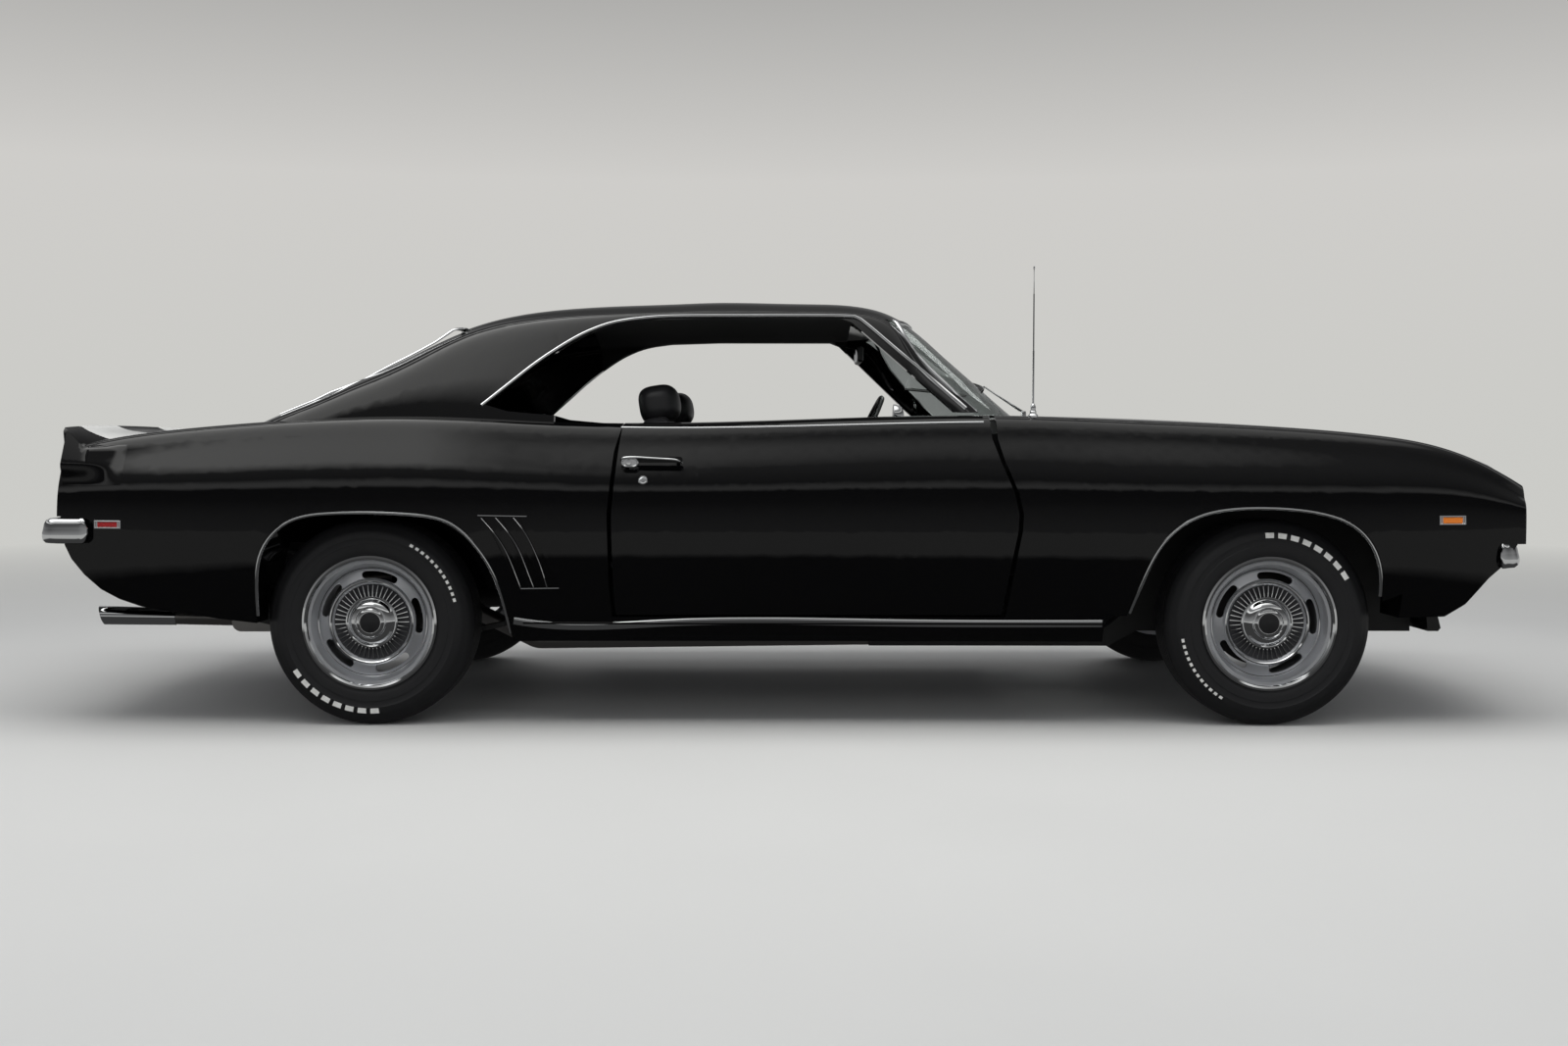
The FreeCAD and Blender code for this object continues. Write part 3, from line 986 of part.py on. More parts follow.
def build():
    p = make_body()
    outer = body_solid(0)
    inside = body_solid(SKIN + FIT)
    _, liners = wheel_wells()
    p.update(make_front([p["fender_right"], p["fender_left"]], inside))
    p.update(make_rear(p["tail_panel"]))
    p["side_markers"] = side_markers(body_solid(-FIT), body_solid(-4))
    p["floor_pan"], p["fire_wall"] = make_floor(inside)
    p["side_trims"] = side_trims(inside, liners)
    p.update(make_chassis())
    p.update(make_cabin())
    p.update(make_trim(outer, p["windshield"]))
    fy, ry = FRONT_TRACK / 2, REAR_TRACK / 2
    for name, x, y, s in (("front_right", FRONT_AXLE_X, -fy, -1), ("front_left", FRONT_AXLE_X, fy, 1),
                          ("rear_right", REAR_AXLE_X, -ry, -1), ("rear_left", REAR_AXLE_X, ry, 1)):
        p["wheel_" + name] = wheel(x, y, s)
        p["tyre_" + name] = keep_big(tyre(x, y).cut([p["wheel_" + name]]))
    return p


if __name__ == "__main__":
    os.makedirs("parts", exist_ok=True)
    for name, shape in build().items():
        shape.exportStep("parts/" + name + ".step")
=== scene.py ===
import math
import bmesh
import bpy
from mathutils import Matrix, Vector
from mathutils.bvhtree import BVHTree


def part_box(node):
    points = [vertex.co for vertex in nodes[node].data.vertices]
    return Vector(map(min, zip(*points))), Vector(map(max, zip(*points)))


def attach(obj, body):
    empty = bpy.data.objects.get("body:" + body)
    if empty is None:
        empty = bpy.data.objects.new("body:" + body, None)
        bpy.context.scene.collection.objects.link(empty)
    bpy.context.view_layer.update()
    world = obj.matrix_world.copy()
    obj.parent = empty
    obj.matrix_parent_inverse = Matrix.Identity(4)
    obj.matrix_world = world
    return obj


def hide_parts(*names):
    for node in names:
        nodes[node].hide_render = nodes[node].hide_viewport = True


# Two-door hardtop muscle car: gloss black paint, white stripes, slotted wheels, black cabin.
# Metres, +X forward, +Y to the car's left, +Z up.
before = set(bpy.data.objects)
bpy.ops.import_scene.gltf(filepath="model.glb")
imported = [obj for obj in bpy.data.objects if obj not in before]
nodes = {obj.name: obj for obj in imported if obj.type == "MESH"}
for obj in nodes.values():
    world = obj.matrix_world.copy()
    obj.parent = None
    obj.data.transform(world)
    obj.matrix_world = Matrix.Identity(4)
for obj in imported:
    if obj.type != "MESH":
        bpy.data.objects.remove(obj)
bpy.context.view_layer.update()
CAR = "car_body"
RIGHT, LEFT = -1.0, 1.0
SIDES = ((RIGHT, "right"), (LEFT, "left"))
FORWARD, UP = Vector((1, 0, 0)), Vector((0, 0, 1))

# camera: beside the car's right, slightly above its middle
CAMERA_AT = (-0.0549, -5.8139, 0.8448)
CAMERA_YAW = 0.00095
CAMERA_DOWN = 0.04487
CAMERA_ROLL = 0.00111
LENS_MM = 37.53

camera_data = bpy.data.cameras.new("camera")
camera_data.lens = LENS_MM
camera_data.sensor_width = 36.0
camera_data.clip_end = 200.0
camera = bpy.data.objects.new("camera", camera_data)
bpy.context.scene.collection.objects.link(camera)
turn = Matrix.Rotation(-CAMERA_YAW, 4, "Z") @ Matrix.Rotation(math.pi / 2 - CAMERA_DOWN, 4, "X")
camera.matrix_world = Matrix.Translation(CAMERA_AT) @ turn @ Matrix.Rotation(CAMERA_ROLL, 4, "Z")
bpy.context.scene.camera = camera
bpy.context.scene.view_settings.view_transform = "Standard"


def lamp(name, place, aim, size, power):
    """Soft rectangular studio lamp at place, facing aim; shiny surfaces don't mirror it."""
    data = bpy.data.lights.new(name, "AREA")
    data.shape = "RECTANGLE"
    data.size, data.size_y = size
    data.energy = power
    obj = bpy.data.objects.new(name, data)
    bpy.context.scene.collection.objects.link(obj)
    obj.location = place
    obj.rotation_euler = (Vector(aim) - Vector(place)).to_track_quat("-Z", "Y").to_euler()
    obj.visible_glossy = False


lamp("lamp_top", (0.0, -1.2, 4.4), (0.0, -0.4, 0.0), (7.0, 4.0), 240)
lamp("lamp_right", (0.4, -7.5, 3.0), (0.0, 0.0, 0.6), (7.0, 1.6), 60)
lamp("lamp_left", (0.0, 6.0, 3.6), (0.0, 0.0, 0.7), (6.0, 1.6), 60)


# shader nodes, for the world and for every finish
def node(tree, kind, inputs=(), **settings):
    """Shader node; each input takes a value or another node's output."""
    made = tree.nodes.new("ShaderNode" + kind)
    for key, value in settings.items():
        setattr(made, key, value)
    for key, value in dict(inputs).items():
        if isinstance(value, bpy.types.NodeSocket):
            tree.links.new(value, made.inputs[key])
        else:
            made.inputs[key].default_value = value
    return made


def mixed(tree, share, low, high):
    """Mix of two shaders: low where share is 0, high where it is 1."""
    return node(tree, "MixShader", {0: share, 1: low, 2: high}).outputs[0]


def seen_directly(tree):
    """1 for the camera's own rays and for those that went through glass."""
    path = node(tree, "LightPath").outputs
    rays = {0: path["Is Camera Ray"], 1: path["Is Transmission Ray"]}
    return node(tree, "Math", rays, operation="MAXIMUM").outputs[0]


def mirrored_ray(tree):
    return node(tree, "LightPath").outputs["Is Glossy Ray"]


# world: a pale room for the eye, a dark one with a bright ceiling for reflections and even soft light for
# the rest; each row is the height of the view direction and a colour
ROOM = ((0.0, 0.60, 0.60, 0.575), (0.16, 0.62, 0.61, 0.59), (0.34, 0.28, 0.28, 0.275),
        (0.75, 0.10, 0.10, 0.10))
MIRRORED_LOW = ((0.0, 0.26, 0.26, 0.26), (0.12, 0.20, 0.20, 0.20), (0.30, 0.08, 0.08, 0.08),
                (0.46, 0.06, 0.06, 0.06))
MIRRORED_REAR = MIRRORED_LOW + ((0.50, 0.85, 0.85, 0.84), (0.54, 0.85, 0.85, 0.84), (0.60, 0.18, 0.18, 0.18),
                                (0.70, 0.26, 0.26, 0.26), (0.76, 2.3, 2.3, 2.26), (1.0, 2.6, 2.6, 2.55))
MIRRORED_FRONT = MIRRORED_LOW + ((0.50, 0.70, 0.70, 0.69), (0.53, 0.70, 0.70, 0.69), (0.60, 0.15, 0.15, 0.15),
                                 (0.80, 0.30, 0.30, 0.30), (0.88, 1.2, 1.2, 1.18), (1.0, 1.6, 1.6, 1.57))
REAR_TO_FRONT = (-0.20, -0.02)
SOFT_LIGHT = (0.92, 0.94, 1.0, 1)
SOFT_STRENGTH = 0.42

world = bpy.data.worlds.new("studio")
bpy.context.scene.world = world
world.use_nodes = True
sky_tree = world.node_tree
sky_tree.nodes.clear()
view = node(sky_tree, "SeparateXYZ", {0: node(sky_tree, "TexCoord").outputs["Generated"]}).outputs


def sky(stops):
    """Background whose colour follows the height of the view direction."""
    ramp = node(sky_tree, "ValToRGB", {"Fac": view["Z"]})
    marks = ramp.color_ramp.elements
    marks[0].position, marks[0].color = stops[0][0], (*stops[0][1:], 1)
    marks[1].position, marks[1].color = stops[-1][0], (*stops[-1][1:], 1)
    for place, *colour in stops[1:-1]:
        marks.new(place).color = (*colour, 1)
    return node(sky_tree, "Background", {"Color": ramp.outputs["Color"]}).outputs[0]


turning = node(sky_tree, "MapRange",
               {"Value": view["X"], "From Min": REAR_TO_FRONT[0], "From Max": REAR_TO_FRONT[1]},
               interpolation_type="SMOOTHSTEP")
room = sky(ROOM)
shine = mixed(sky_tree, turning.outputs[0], sky(MIRRORED_REAR), sky(MIRRORED_FRONT))
soft = node(sky_tree, "Background", {"Color": SOFT_LIGHT, "Strength": SOFT_STRENGTH}).outputs[0]
plain = mixed(sky_tree, seen_directly(sky_tree), soft, room)
node(sky_tree, "OutputWorld", {0: mixed(sky_tree, mirrored_ray(sky_tree), plain, shine)})


class Mat:
    """Principled material with a few node helpers."""

    def __init__(self, name, colour, rough, metal=0.0, **sockets):
        self.m = bpy.data.materials.new(name)
        self.m.use_nodes = True
        self.tree = self.m.node_tree
        self.b = self.tree.nodes["Principled BSDF"]
        self.b.inputs["Base Color"].default_value = (*colour, 1)
        self.b.inputs["Roughness"].default_value = rough
        self.b.inputs["Metallic"].default_value = metal
        for key, value in sockets.items():
            self.b.inputs[key.replace("_", " ")].default_value = value
        self.co = self.node("TexCoord").outputs

    def node(self, kind, inputs=(), **settings):
        return node(self.tree, kind, inputs, **settings)

    def to(self, socket, out):
        self.tree.links.new(out, self.b.inputs[socket])
        return self

    def noise(self, scale, detail=3.0):
        return self.node("TexNoise",
                         {"Vector": self.co["Object"], "Scale": scale, "Detail": detail}).outputs["Fac"]

    def cells(self, scale):
        return self.node("TexVoronoi", {"Vector": self.co["Object"], "Scale": scale}).outputs["Distance"]

    def axis(self, kind, name):
        """One axis of the object's coordinates or of its normal."""
        return self.node("SeparateXYZ", {0: self.co[kind]}).outputs[name]

    def ramp(self, share, low, high, start=0.45, end=0.55):
        made = self.node("ValToRGB", {"Fac": share})
        for mark, place, colour in zip(made.color_ramp.elements, (start, end), (low, high)):
            mark.position, mark.color = place, (*colour, 1)
        return made.outputs["Color"]

    def rough(self, share, low, high):
        made = self.node("MapRange", {"Value": share, "To Min": low, "To Max": high})
        return self.to("Roughness", made.outputs[0])

    def bump(self, height, strength, distance):
        made = self.node("Bump", {"Height": height, "Strength": strength, "Distance": distance})
        return self.to("Normal", made.outputs[0])

    def value(self, operation, a, b=None):
        inputs = {0: a} if b is None else {0: a, 1: b}
        return self.node("Math", inputs, operation=operation).outputs[0]

    def either(self, share, low, high):
        """low where share is 0 and high where it is 1."""
        rest = self.value("SUBTRACT", 1.0, share)
        return self.value("ADD", self.value("MULTIPLY", share, high), self.value("MULTIPLY", rest, low))


# finishes
BLACK = (0.0016, 0.0016, 0.0018)
WHITE = (0.80, 0.80, 0.77)
HOOD_STRIPE = (0.135, 0.44)
DECK_STRIPE = (0.182, 0.585)
HOOD_TAPER = 0.060
TAPER_FROM = 0.8
FACES_UP = 0.25


def gloss_paint(name):
    return Mat(name, BLACK, 0.04, Specular_IOR_Level=0.32)


def striped_paint():
    """Gloss black with two wide white stripes on upward faces, tapering to the nose."""
    s = gloss_paint("striped_paint")
    x, y = s.axis("Object", "X"), s.value("ABSOLUTE", s.axis("Object", "Y"))
    front = s.value("GREATER_THAN", x, 0.0)
    taper = s.value("MULTIPLY", s.value("SUBTRACT", x, TAPER_FROM), HOOD_TAPER)
    outer = s.either(front, DECK_STRIPE[1], s.value("SUBTRACT", HOOD_STRIPE[1], taper))
    inner = s.either(front, DECK_STRIPE[0], HOOD_STRIPE[0])
    band = s.value("MULTIPLY", s.value("GREATER_THAN", y, inner), s.value("LESS_THAN", y, outer))
    mask = s.value("MULTIPLY", band, s.value("GREATER_THAN", s.axis("Normal", "Z"), FACES_UP))
    return s.to("Base Color", s.ramp(mask, BLACK, WHITE))


def lined_paint(name, lining, rough):
    """Gloss black outside; faces that look down carry a dull lining."""
    r = gloss_paint(name)
    down = r.value("LESS_THAN", r.axis("Normal", "Z"), -0.15)
    return r.to("Base Color", r.ramp(down, BLACK, lining)).rough(down, 0.035, rough)


def pan_and_carpet():
    """Carpet on what faces up, satin paint below."""
    f = Mat("floor_and_carpet", (0.014, 0.014, 0.015), 0.9)
    up = f.value("GREATER_THAN", f.axis("Normal", "Z"), 0.3)
    f.to("Base Color", f.ramp(up, (0.018, 0.018, 0.018), (0.013, 0.013, 0.014))).rough(up, 0.5, 0.95)
    return f.bump(f.noise(700.0, 2.0), 0.3, 0.0015)


def worn(name, colour, low, high, scale, metal=0.0, detail=3.0, **sockets):
    """Finish whose roughness drifts between low and high; where that can't be read, it has their middle."""
    made = Mat(name, colour, (low + high) / 2, metal, **sockets)
    return made.rough(made.noise(scale, detail), low, high)


def lens(name, colour, rough, cell, depth, specular=0.6):
    """Lamp lens with small moulded cells."""
    made = Mat(name, colour, rough, Specular_IOR_Level=specular)
    return made.bump(made.cells(cell), depth, 0.001)


paint = gloss_paint("black_paint")
paint.rough(paint.noise(9.0), 0.025, 0.045)
stripes = striped_paint()
roof_paint = lined_paint("roof_paint", (0.012, 0.012, 0.012), 0.85)
pan_finish = pan_and_carpet()
BRIGHT = (0.78, 0.79, 0.80)
chrome = worn("chrome", BRIGHT, 0.028, 0.060, 30.0, 1.0)
brushed = worn("bright_trim", BRIGHT, 0.084, 0.180, 30.0, 1.0)
silver = Mat("wheel_silver", (0.52, 0.53, 0.55), 0.32, 0.75)
silver.bump(silver.noise(900.0, 1.0), 0.05, 0.0004)
fin_dark = worn("fin_recess", (0.06, 0.06, 0.065), 0.3, 0.5, 60.0, 0.6)
rubber = worn("tyre_rubber", (0.011, 0.011, 0.012), 0.42, 0.62, 24.0)
rubber.bump(rubber.noise(420.0, 2.0), 0.12, 0.0006)
white_rubber = Mat("white_rubber", (0.70, 0.70, 0.67), 0.55)
white_tones = white_rubber.ramp(white_rubber.noise(35.0), (0.62, 0.62, 0.59), (0.75, 0.75, 0.72), 0.3, 0.7)
white_rubber.to("Base Color", white_tones)
glass = worn("glass", (0.88, 0.94, 0.91), 0.0, 0.001, 3.0, Transmission_Weight=1.0, IOR=1.01, Coat_Weight=1.0,
             Coat_IOR=1.4, Coat_Roughness=0.0)
lens_glass = Mat("lamp_glass", (0.93, 0.95, 0.96), 0.02, 0.0, Transmission_Weight=1.0, IOR=1.40)
lens_glass.bump(lens_glass.cells(90.0), 0.15, 0.001)
red_lens = lens("red_lens", (0.32, 0.006, 0.008), 0.12, 160.0, 0.3)
amber = lens("amber_lens", (0.75, 0.20, 0.02), 0.12, 240.0, 0.3)
clear_lens = lens("clear_lens", (0.34, 0.35, 0.36), 0.08, 260.0, 0.4, 0.7)
plastic = Mat("dark_plastic", (0.010, 0.010, 0.011), 0.42)
plastic.bump(plastic.cells(700.0), 0.08, 0.0003)
vinyl = worn("seat_vinyl", (0.014, 0.014, 0.015), 0.30, 0.46, 18.0)
vinyl.bump(vinyl.cells(520.0), 0.16, 0.0005)
carpet = Mat("carpet", (0.012, 0.012, 0.013), 0.95)
carpet.bump(carpet.noise(900.0, 2.0), 0.6, 0.002)
under = worn("floor_paint", (0.018, 0.018, 0.018), 0.4, 0.65, 12.0)
dial_face = worn("dial_face", (0.012, 0.012, 0.013), 0.30, 0.40, 40.0)
blade_rubber = worn("blade_rubber", (0.010, 0.010, 0.010), 0.5, 0.7, 80.0)
iron = Mat("cast_iron", (0.055, 0.052, 0.050), 0.6, 0.5)
iron.bump(iron.noise(160.0), 0.3, 0.001)
steel = worn("exhaust_steel", (0.34, 0.33, 0.32), 0.25, 0.5, 14.0, 1.0, 4.0)

FINISH = {
    paint: ["fender_right", "fender_left", "rocker_panels", "quarter_right", "quarter_left", "pillars",
            "door_right", "door_left", "tail_panel", "rear_valance", "front_valance"],
    roof_paint: ["roof_panel"],
    pan_finish: ["floor_pan"],
    stripes: ["hood", "nose_panel", "cowl", "rear_deck", "decklid"],
    glass: ["windshield", "rear_window"],
    chrome: ["front_bumper", "rear_bumper", "door_mirror", "antenna"],
    brushed: ["wipers"],
    plastic: ["grille", "dashboard", "steering_wheel", "side_trims"],
    lens_glass: ["headlamps"],
    red_lens: ["tail_lamps", "side_markers"],
    under: ["front_subframe", "inner_fenders", "leaf_springs", "fuel_tank", "rear_axle", "fire_wall"],
    iron: ["engine_block", "knuckle_right", "knuckle_left"],
    steel: ["exhaust"],
    vinyl: ["front_seats", "rear_seat"],
}
for finish, names in FINISH.items():
    for name in names:
        nodes[name].material_slots[0].material = finish.m


# helpers that make pieces
def outward(mesh):
    """Turns the mesh's faces to its outside."""
    bm = bmesh.new()
    bm.from_mesh(mesh)
    bmesh.ops.recalc_face_normals(bm, faces=bm.faces)
    bm.to_mesh(mesh)
    bm.free()


def dress(obj, finish, body, smooth=35.0):
    """Finishes an object and lets it ride on a body; edges sharper than `smooth` degrees stay crisp."""
    if not obj.users_collection:
        bpy.context.scene.collection.objects.link(obj)
    mesh = obj.data
    outward(mesh)
    mesh.polygons.foreach_set("use_smooth", [True] * len(mesh.polygons))
    mesh.set_sharp_from_angle(angle=math.radians(smooth))
    mesh.materials.clear()
    mesh.materials.append(finish.m)
    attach(obj, body)
    return obj


def piece(name, verts, faces, finish, body=CAR, smooth=35.0):
    mesh = bpy.data.meshes.new(name)
    mesh.from_pydata([tuple(v) for v in verts], [], faces)
    mesh.validate()
    return dress(bpy.data.objects.new(name, mesh), finish, body, smooth)


def skins(blocks, closed=False):
    """Vertices and faces of skins, each through rings of points; open skins get end caps."""
    verts, faces = [], []
    for rings in blocks:
        base, rows, cols = len(verts), len(rings), len(rings[0])
        verts += [p for ring in rings for p in ring]
        for i in range(rows if closed else rows - 1):
            k = (i + 1) % rows
            for j in range(cols):
                n = (j + 1) % cols
                quad = (i * cols + j, i * cols + n, k * cols + n, k * cols + j)
                faces.append(tuple(base + v for v in quad))
        if not closed:
            last = base + (rows - 1) * cols
            faces += [tuple(range(base, base + cols)), tuple(range(last, last + cols))]
    return verts, faces


def loft(name, rings, finish, body=CAR, closed=False, smooth=35.0):
    """Skin through rings that all have the same number of points."""
    return piece(name, *skins([rings], closed), finish, body, smooth)


def tree_of(names):
    verts, faces = [], []
    for name in names:
        mesh = nodes[name].data
        base = len(verts)
        verts += [v.co.copy() for v in mesh.vertices]
        faces += [[base + i for i in p.vertices] for p in mesh.polygons]
    return BVHTree.FromPolygons(verts, faces)


lower_skin = tree_of(["fender_right", "fender_left", "door_right", "door_left", "quarter_right",
                      "quarter_left", "rocker_panels", "hood", "decklid", "cowl", "rear_deck", "nose_panel"])
upper_skin = tree_of(["pillars", "roof_panel", "quarter_right", "quarter_left"])
# where rays towards the car start: beside it, above it, and before or behind it
BESIDE, ABOVE, OUTSIDE = 1.3, 1.3, 3.0


def side_point(tree, x, z, side, lift=0.0):
    """Point and outward normal of the skin at x, z, seen from the car's side."""
    hit, normal, _, _ = tree.ray_cast(Vector((x, side * BESIDE, z)), Vector((0, -side, 0)))
    return None if hit is None else (hit + normal * lift, normal)


def end_point(tree, y, z, face):
    """Point and normal at y, z, seen from the front (face 1) or the rear (face -1)."""
    hit, normal, _, _ = tree.ray_cast(Vector((face * OUTSIDE, y, z)), Vector((-face, 0, 0)))
    return None if hit is None else (hit, normal)


def below(tree, x, y):
    """Highest point of the skin at x, y."""
    return tree.ray_cast(Vector((x, y, ABOVE)), -UP)[0]


def circle(count):
    """Evenly spaced angles round a full turn."""
    return [2 * math.pi * i / count for i in range(count)]


def spline(points, step=0.02):
    """Smooth path through the points (chord-length natural cubic), resampled at about one step."""
    pts = [Vector(p) for p in points]
    n = len(pts)
    t = [0.0]
    for a, b in zip(pts, pts[1:]):
        t.append(t[-1] + (b - a).length)
    second = []
    for k in range(len(pts[0])):
        v = [p[k] for p in pts]
        low, diag, rhs = [0.0] * n, [1.0] * n, [0.0] * n
        up = [0.0] * n
        for i in range(1, n - 1):
            h0, h1 = t[i] - t[i - 1], t[i + 1] - t[i]
            low[i], diag[i], up[i] = h0, 2 * (h0 + h1), h1
            rhs[i] = 6 * ((v[i + 1] - v[i]) / h1 - (v[i] - v[i - 1]) / h0)
        for i in range(1, n):
            f = low[i] / diag[i - 1]
            diag[i] -= f * up[i - 1]
            rhs[i] -= f * rhs[i - 1]
        m = [0.0] * n
        for i in range(n - 2, 0, -1):
            m[i] = (rhs[i] - up[i] * m[i + 1]) / diag[i]
        second.append(m)
    out = []
    for i in range(n - 1):
        h = t[i + 1] - t[i]
        count = max(1, round(h / step))
        for j in range(count + (i == n - 2)):
            u = h * j / count
            a, b = h - u, u
            place = []
            for k, bend in enumerate(second):
                place.append((bend[i] * a ** 3 + bend[i + 1] * b ** 3) / (6 * h)
                             + (pts[i][k] / h - bend[i] * h / 6) * a
                             + (pts[i + 1][k] / h - bend[i + 1] * h / 6) * b)
            out.append(Vector(place))
    return out


def soft_line(points, step=0.02, rounds=3):
    """Straight runs with rounded corners (corner cutting), resampled at about one step."""
    pts = [Vector(p) for p in points]
    for _ in range(rounds):
        cut = [pts[0]]
        for a, b in zip(pts, pts[1:]):
            cut += [a.lerp(b, 0.25), a.lerp(b, 0.75)]
        pts = cut + [pts[-1]]
    out = [pts[0]]
    for p in pts[1:]:
        gap = (p - out[-1]).length
        if gap >= step:
            count = round(gap / step)
            start = out[-1]
            out += [start.lerp(p, (i + 1) / count) for i in range(count)]
    out.append(pts[-1])
    return out


def along(path, i, closed=False):
    """Direction of the path at its point i."""
    a = path[i - 1] if closed or i > 0 else path[0]
    b = path[(i + 1) % len(path)] if closed or i < len(path) - 1 else path[i]
    return (b - a).normalized()


def sweep(name, path, normals, section, finish, body=CAR, closed=False, smooth=35.0):
    """Section points (across, out) carried along a path on a surface."""
    rings = []
    for i, (p, normal) in enumerate(zip(path, normals)):
        ahead = along(path, i, closed)
        across = normal.cross(ahead).normalized()
        out = ahead.cross(across).normalized()
        rings.append([p + across * u + out * v for u, v in section])
    return loft(name, rings, finish, body, closed, smooth)


def oval(q, wide, tall, count):
    """Ring round q from its two half axes."""
    return [q + wide * math.cos(t) + tall * math.sin(t) for t in circle(count)]


def half_round(width, height, sunk=0.002, steps=6):
    """Low rounded moulding section, sunk a little into what carries it."""
    arc = [math.pi * (1 - i / steps) for i in range(steps + 1)]
    raised = [(width / 2 * math.cos(a), height * math.sin(a)) for a in arc]
    return [(-width / 2, -sunk)] + raised + [(width / 2, -sunk)]


def turned(name, profile, origin, axis, finish, body=CAR, steps=48, smooth=35.0, merge=3e-5):
    """Turned piece: (radius, distance along the axis) points revolved about an axis through origin."""
    axis = Vector(axis).normalized()
    u = axis.orthogonal().normalized()
    v = axis.cross(u)
    spokes = [u * math.cos(a) + v * math.sin(a) for a in circle(steps)]
    rings = [[Vector(origin) + axis * h + spoke * max(r, 1e-5) for r, h in profile] for spoke in spokes]
    obj = loft(name, rings, finish, body, True, smooth)
    bm = bmesh.new()
    bm.from_mesh(obj.data)
    bmesh.ops.remove_doubles(bm, verts=bm.verts, dist=merge)
    bmesh.ops.dissolve_degenerate(bm, edges=bm.edges, dist=merge / 10)
    bm.to_mesh(obj.data)
    bm.free()
    obj.data.set_sharp_from_angle(angle=math.radians(smooth))
    return obj


def bake(obj):
    """Applies the object's modifiers to its mesh."""
    depsgraph = bpy.context.evaluated_depsgraph_get()
    mesh = bpy.data.meshes.new_from_object(obj.evaluated_get(depsgraph))
    obj.modifiers.clear()
    obj.data = mesh


def bevelled(obj, width, segments, angle=30.0):
    soft_edge = obj.modifiers.new("soft", "BEVEL")
    soft_edge.width = width
    soft_edge.segments = segments
    soft_edge.limit_method = "ANGLE"
    soft_edge.angle_limit = math.radians(angle)
    bake(obj)


def rounded_box(name, xs, ys, zs, radius, finish, body=CAR, segments=3, side=1):
    """Box with rounded edges between two x, y and z places; side -1 mirrors its y places."""
    ys = sorted(side * y for y in ys)
    verts = [(x, y, z) for x in xs for y in ys for z in zs]
    faces = [(0, 1, 3, 2), (4, 6, 7, 5), (0, 4, 5, 1), (2, 3, 7, 6), (0, 2, 6, 4), (1, 5, 7, 3)]
    obj = piece(name, verts, faces, finish, body)
    bevelled(obj, radius, segments)
    return dress(obj, finish, body, 50.0)


# tyres and wheels; profiles are (radius, distance out from the wheel's middle)
TYRE_R = 0.316
RIM_R = 0.1905
TREAD_EDGE = 0.0560
TREAD_SUNK = 0.0003
TREAD_CROWN = 0.0012
TREAD_PITCHES = 64
TREAD_GROOVES = (-0.042, -0.021, 0.0, 0.021, 0.042)
GROOVE_WIDE, GROOVE_DEEP = 0.005, 0.006
GROOVE_SHAPE = ((-1 / 2, 0.0), (-1 / 3, GROOVE_DEEP), (1 / 3, GROOVE_DEEP), (1 / 2, 0.0))
ZIGZAG = (0.0, 0.0025, 0.0, -0.0025)
SIDEWALL = [(RIM_R + 0.0005, 0.085), (0.196, 0.0905), (0.203, 0.0925), (0.2045, 0.0915), (0.212, 0.0950),
            (0.226, 0.0975), (0.240, 0.0987), (0.2415, 0.0978), (0.258, 0.0980), (0.2595, 0.0988),
            (0.272, 0.0965), (0.284, 0.0915), (0.2855, 0.0897), (0.296, 0.0835), (0.305, 0.0745),
            (0.3115, 0.0655), (0.3145, 0.0600)]
RIM = [(RIM_R, -0.088), (0.2045, -0.090), (0.2045, -0.098), (0.1825, -0.098), (0.1645, -0.058),
       (0.1645, 0.048), (0.1805, 0.090), (0.1905, 0.0915), (0.1905, 0.088), (0.1745, 0.046), (0.1745, -0.056)]
TRIM_RING = [(0.2050, 0.0905), (0.2068, 0.0945), (0.2050, 0.0985), (0.1985, 0.1000), (0.1925, 0.0975),
             (0.1885, 0.0905), (0.1830, 0.0830), (0.1745, 0.0640), (0.1690, 0.0560), (0.1650, 0.0550),
             (0.1650, 0.0500), (0.1720, 0.0500), (0.1850, 0.0780), (0.1935, 0.0900)]
DISC = [(0.0340, 0.0300), (0.0800, 0.0330), (0.1100, 0.0480), (0.1200, 0.0640), (0.1260, 0.0680),
        (0.1300, 0.0670), (0.1340, 0.0640), (0.1580, 0.0600), (0.1645, 0.0560), (0.1645, 0.0480),
        (0.1570, 0.0520), (0.1320, 0.0560), (0.1260, 0.0590), (0.1130, 0.0400), (0.0800, 0.0250),
        (0.0340, 0.0240)]
STEP_RING = [(0.1205, 0.0600), (0.1220, 0.0695), (0.1250, 0.0718), (0.1285, 0.0712), (0.1320, 0.0670),
             (0.1345, 0.0640), (0.1330, 0.0600)]
FIN_BACK = [(0.0700, 0.0500), (0.1120, 0.0560), (0.1205, 0.0600), (0.1205, 0.0500), (0.0700, 0.0440)]
CAP = [(0.0001, 0.0300), (0.0820, 0.0450), (0.0815, 0.0640), (0.0790, 0.0690), (0.0750, 0.0700),
       (0.0715, 0.0680), (0.0700, 0.0690), (0.0640, 0.0770), (0.0560, 0.0830), (0.0490, 0.0855),
       (0.0475, 0.0880), (0.0450, 0.0885), (0.0430, 0.0865), (0.0400, 0.0880), (0.0350, 0.0910),
       (0.0330, 0.0912), (0.0325, 0.0895), (0.0001, 0.0895)]
CAP_CENTRE = [(0.0001, 0.0885), (0.0318, 0.0885), (0.0315, 0.0903), (0.0280, 0.0912), (0.0001, 0.0930)]
SLOTS = 5
SLOT_RADII = (0.134, 0.1565)
SLOT_HALF = math.radians(17.5)
SLOT_FIRST = math.radians(8.0)
SLOT_DEPTH = (0.0, 0.09)
FINS = 45
FIN_TAPER = 0.55
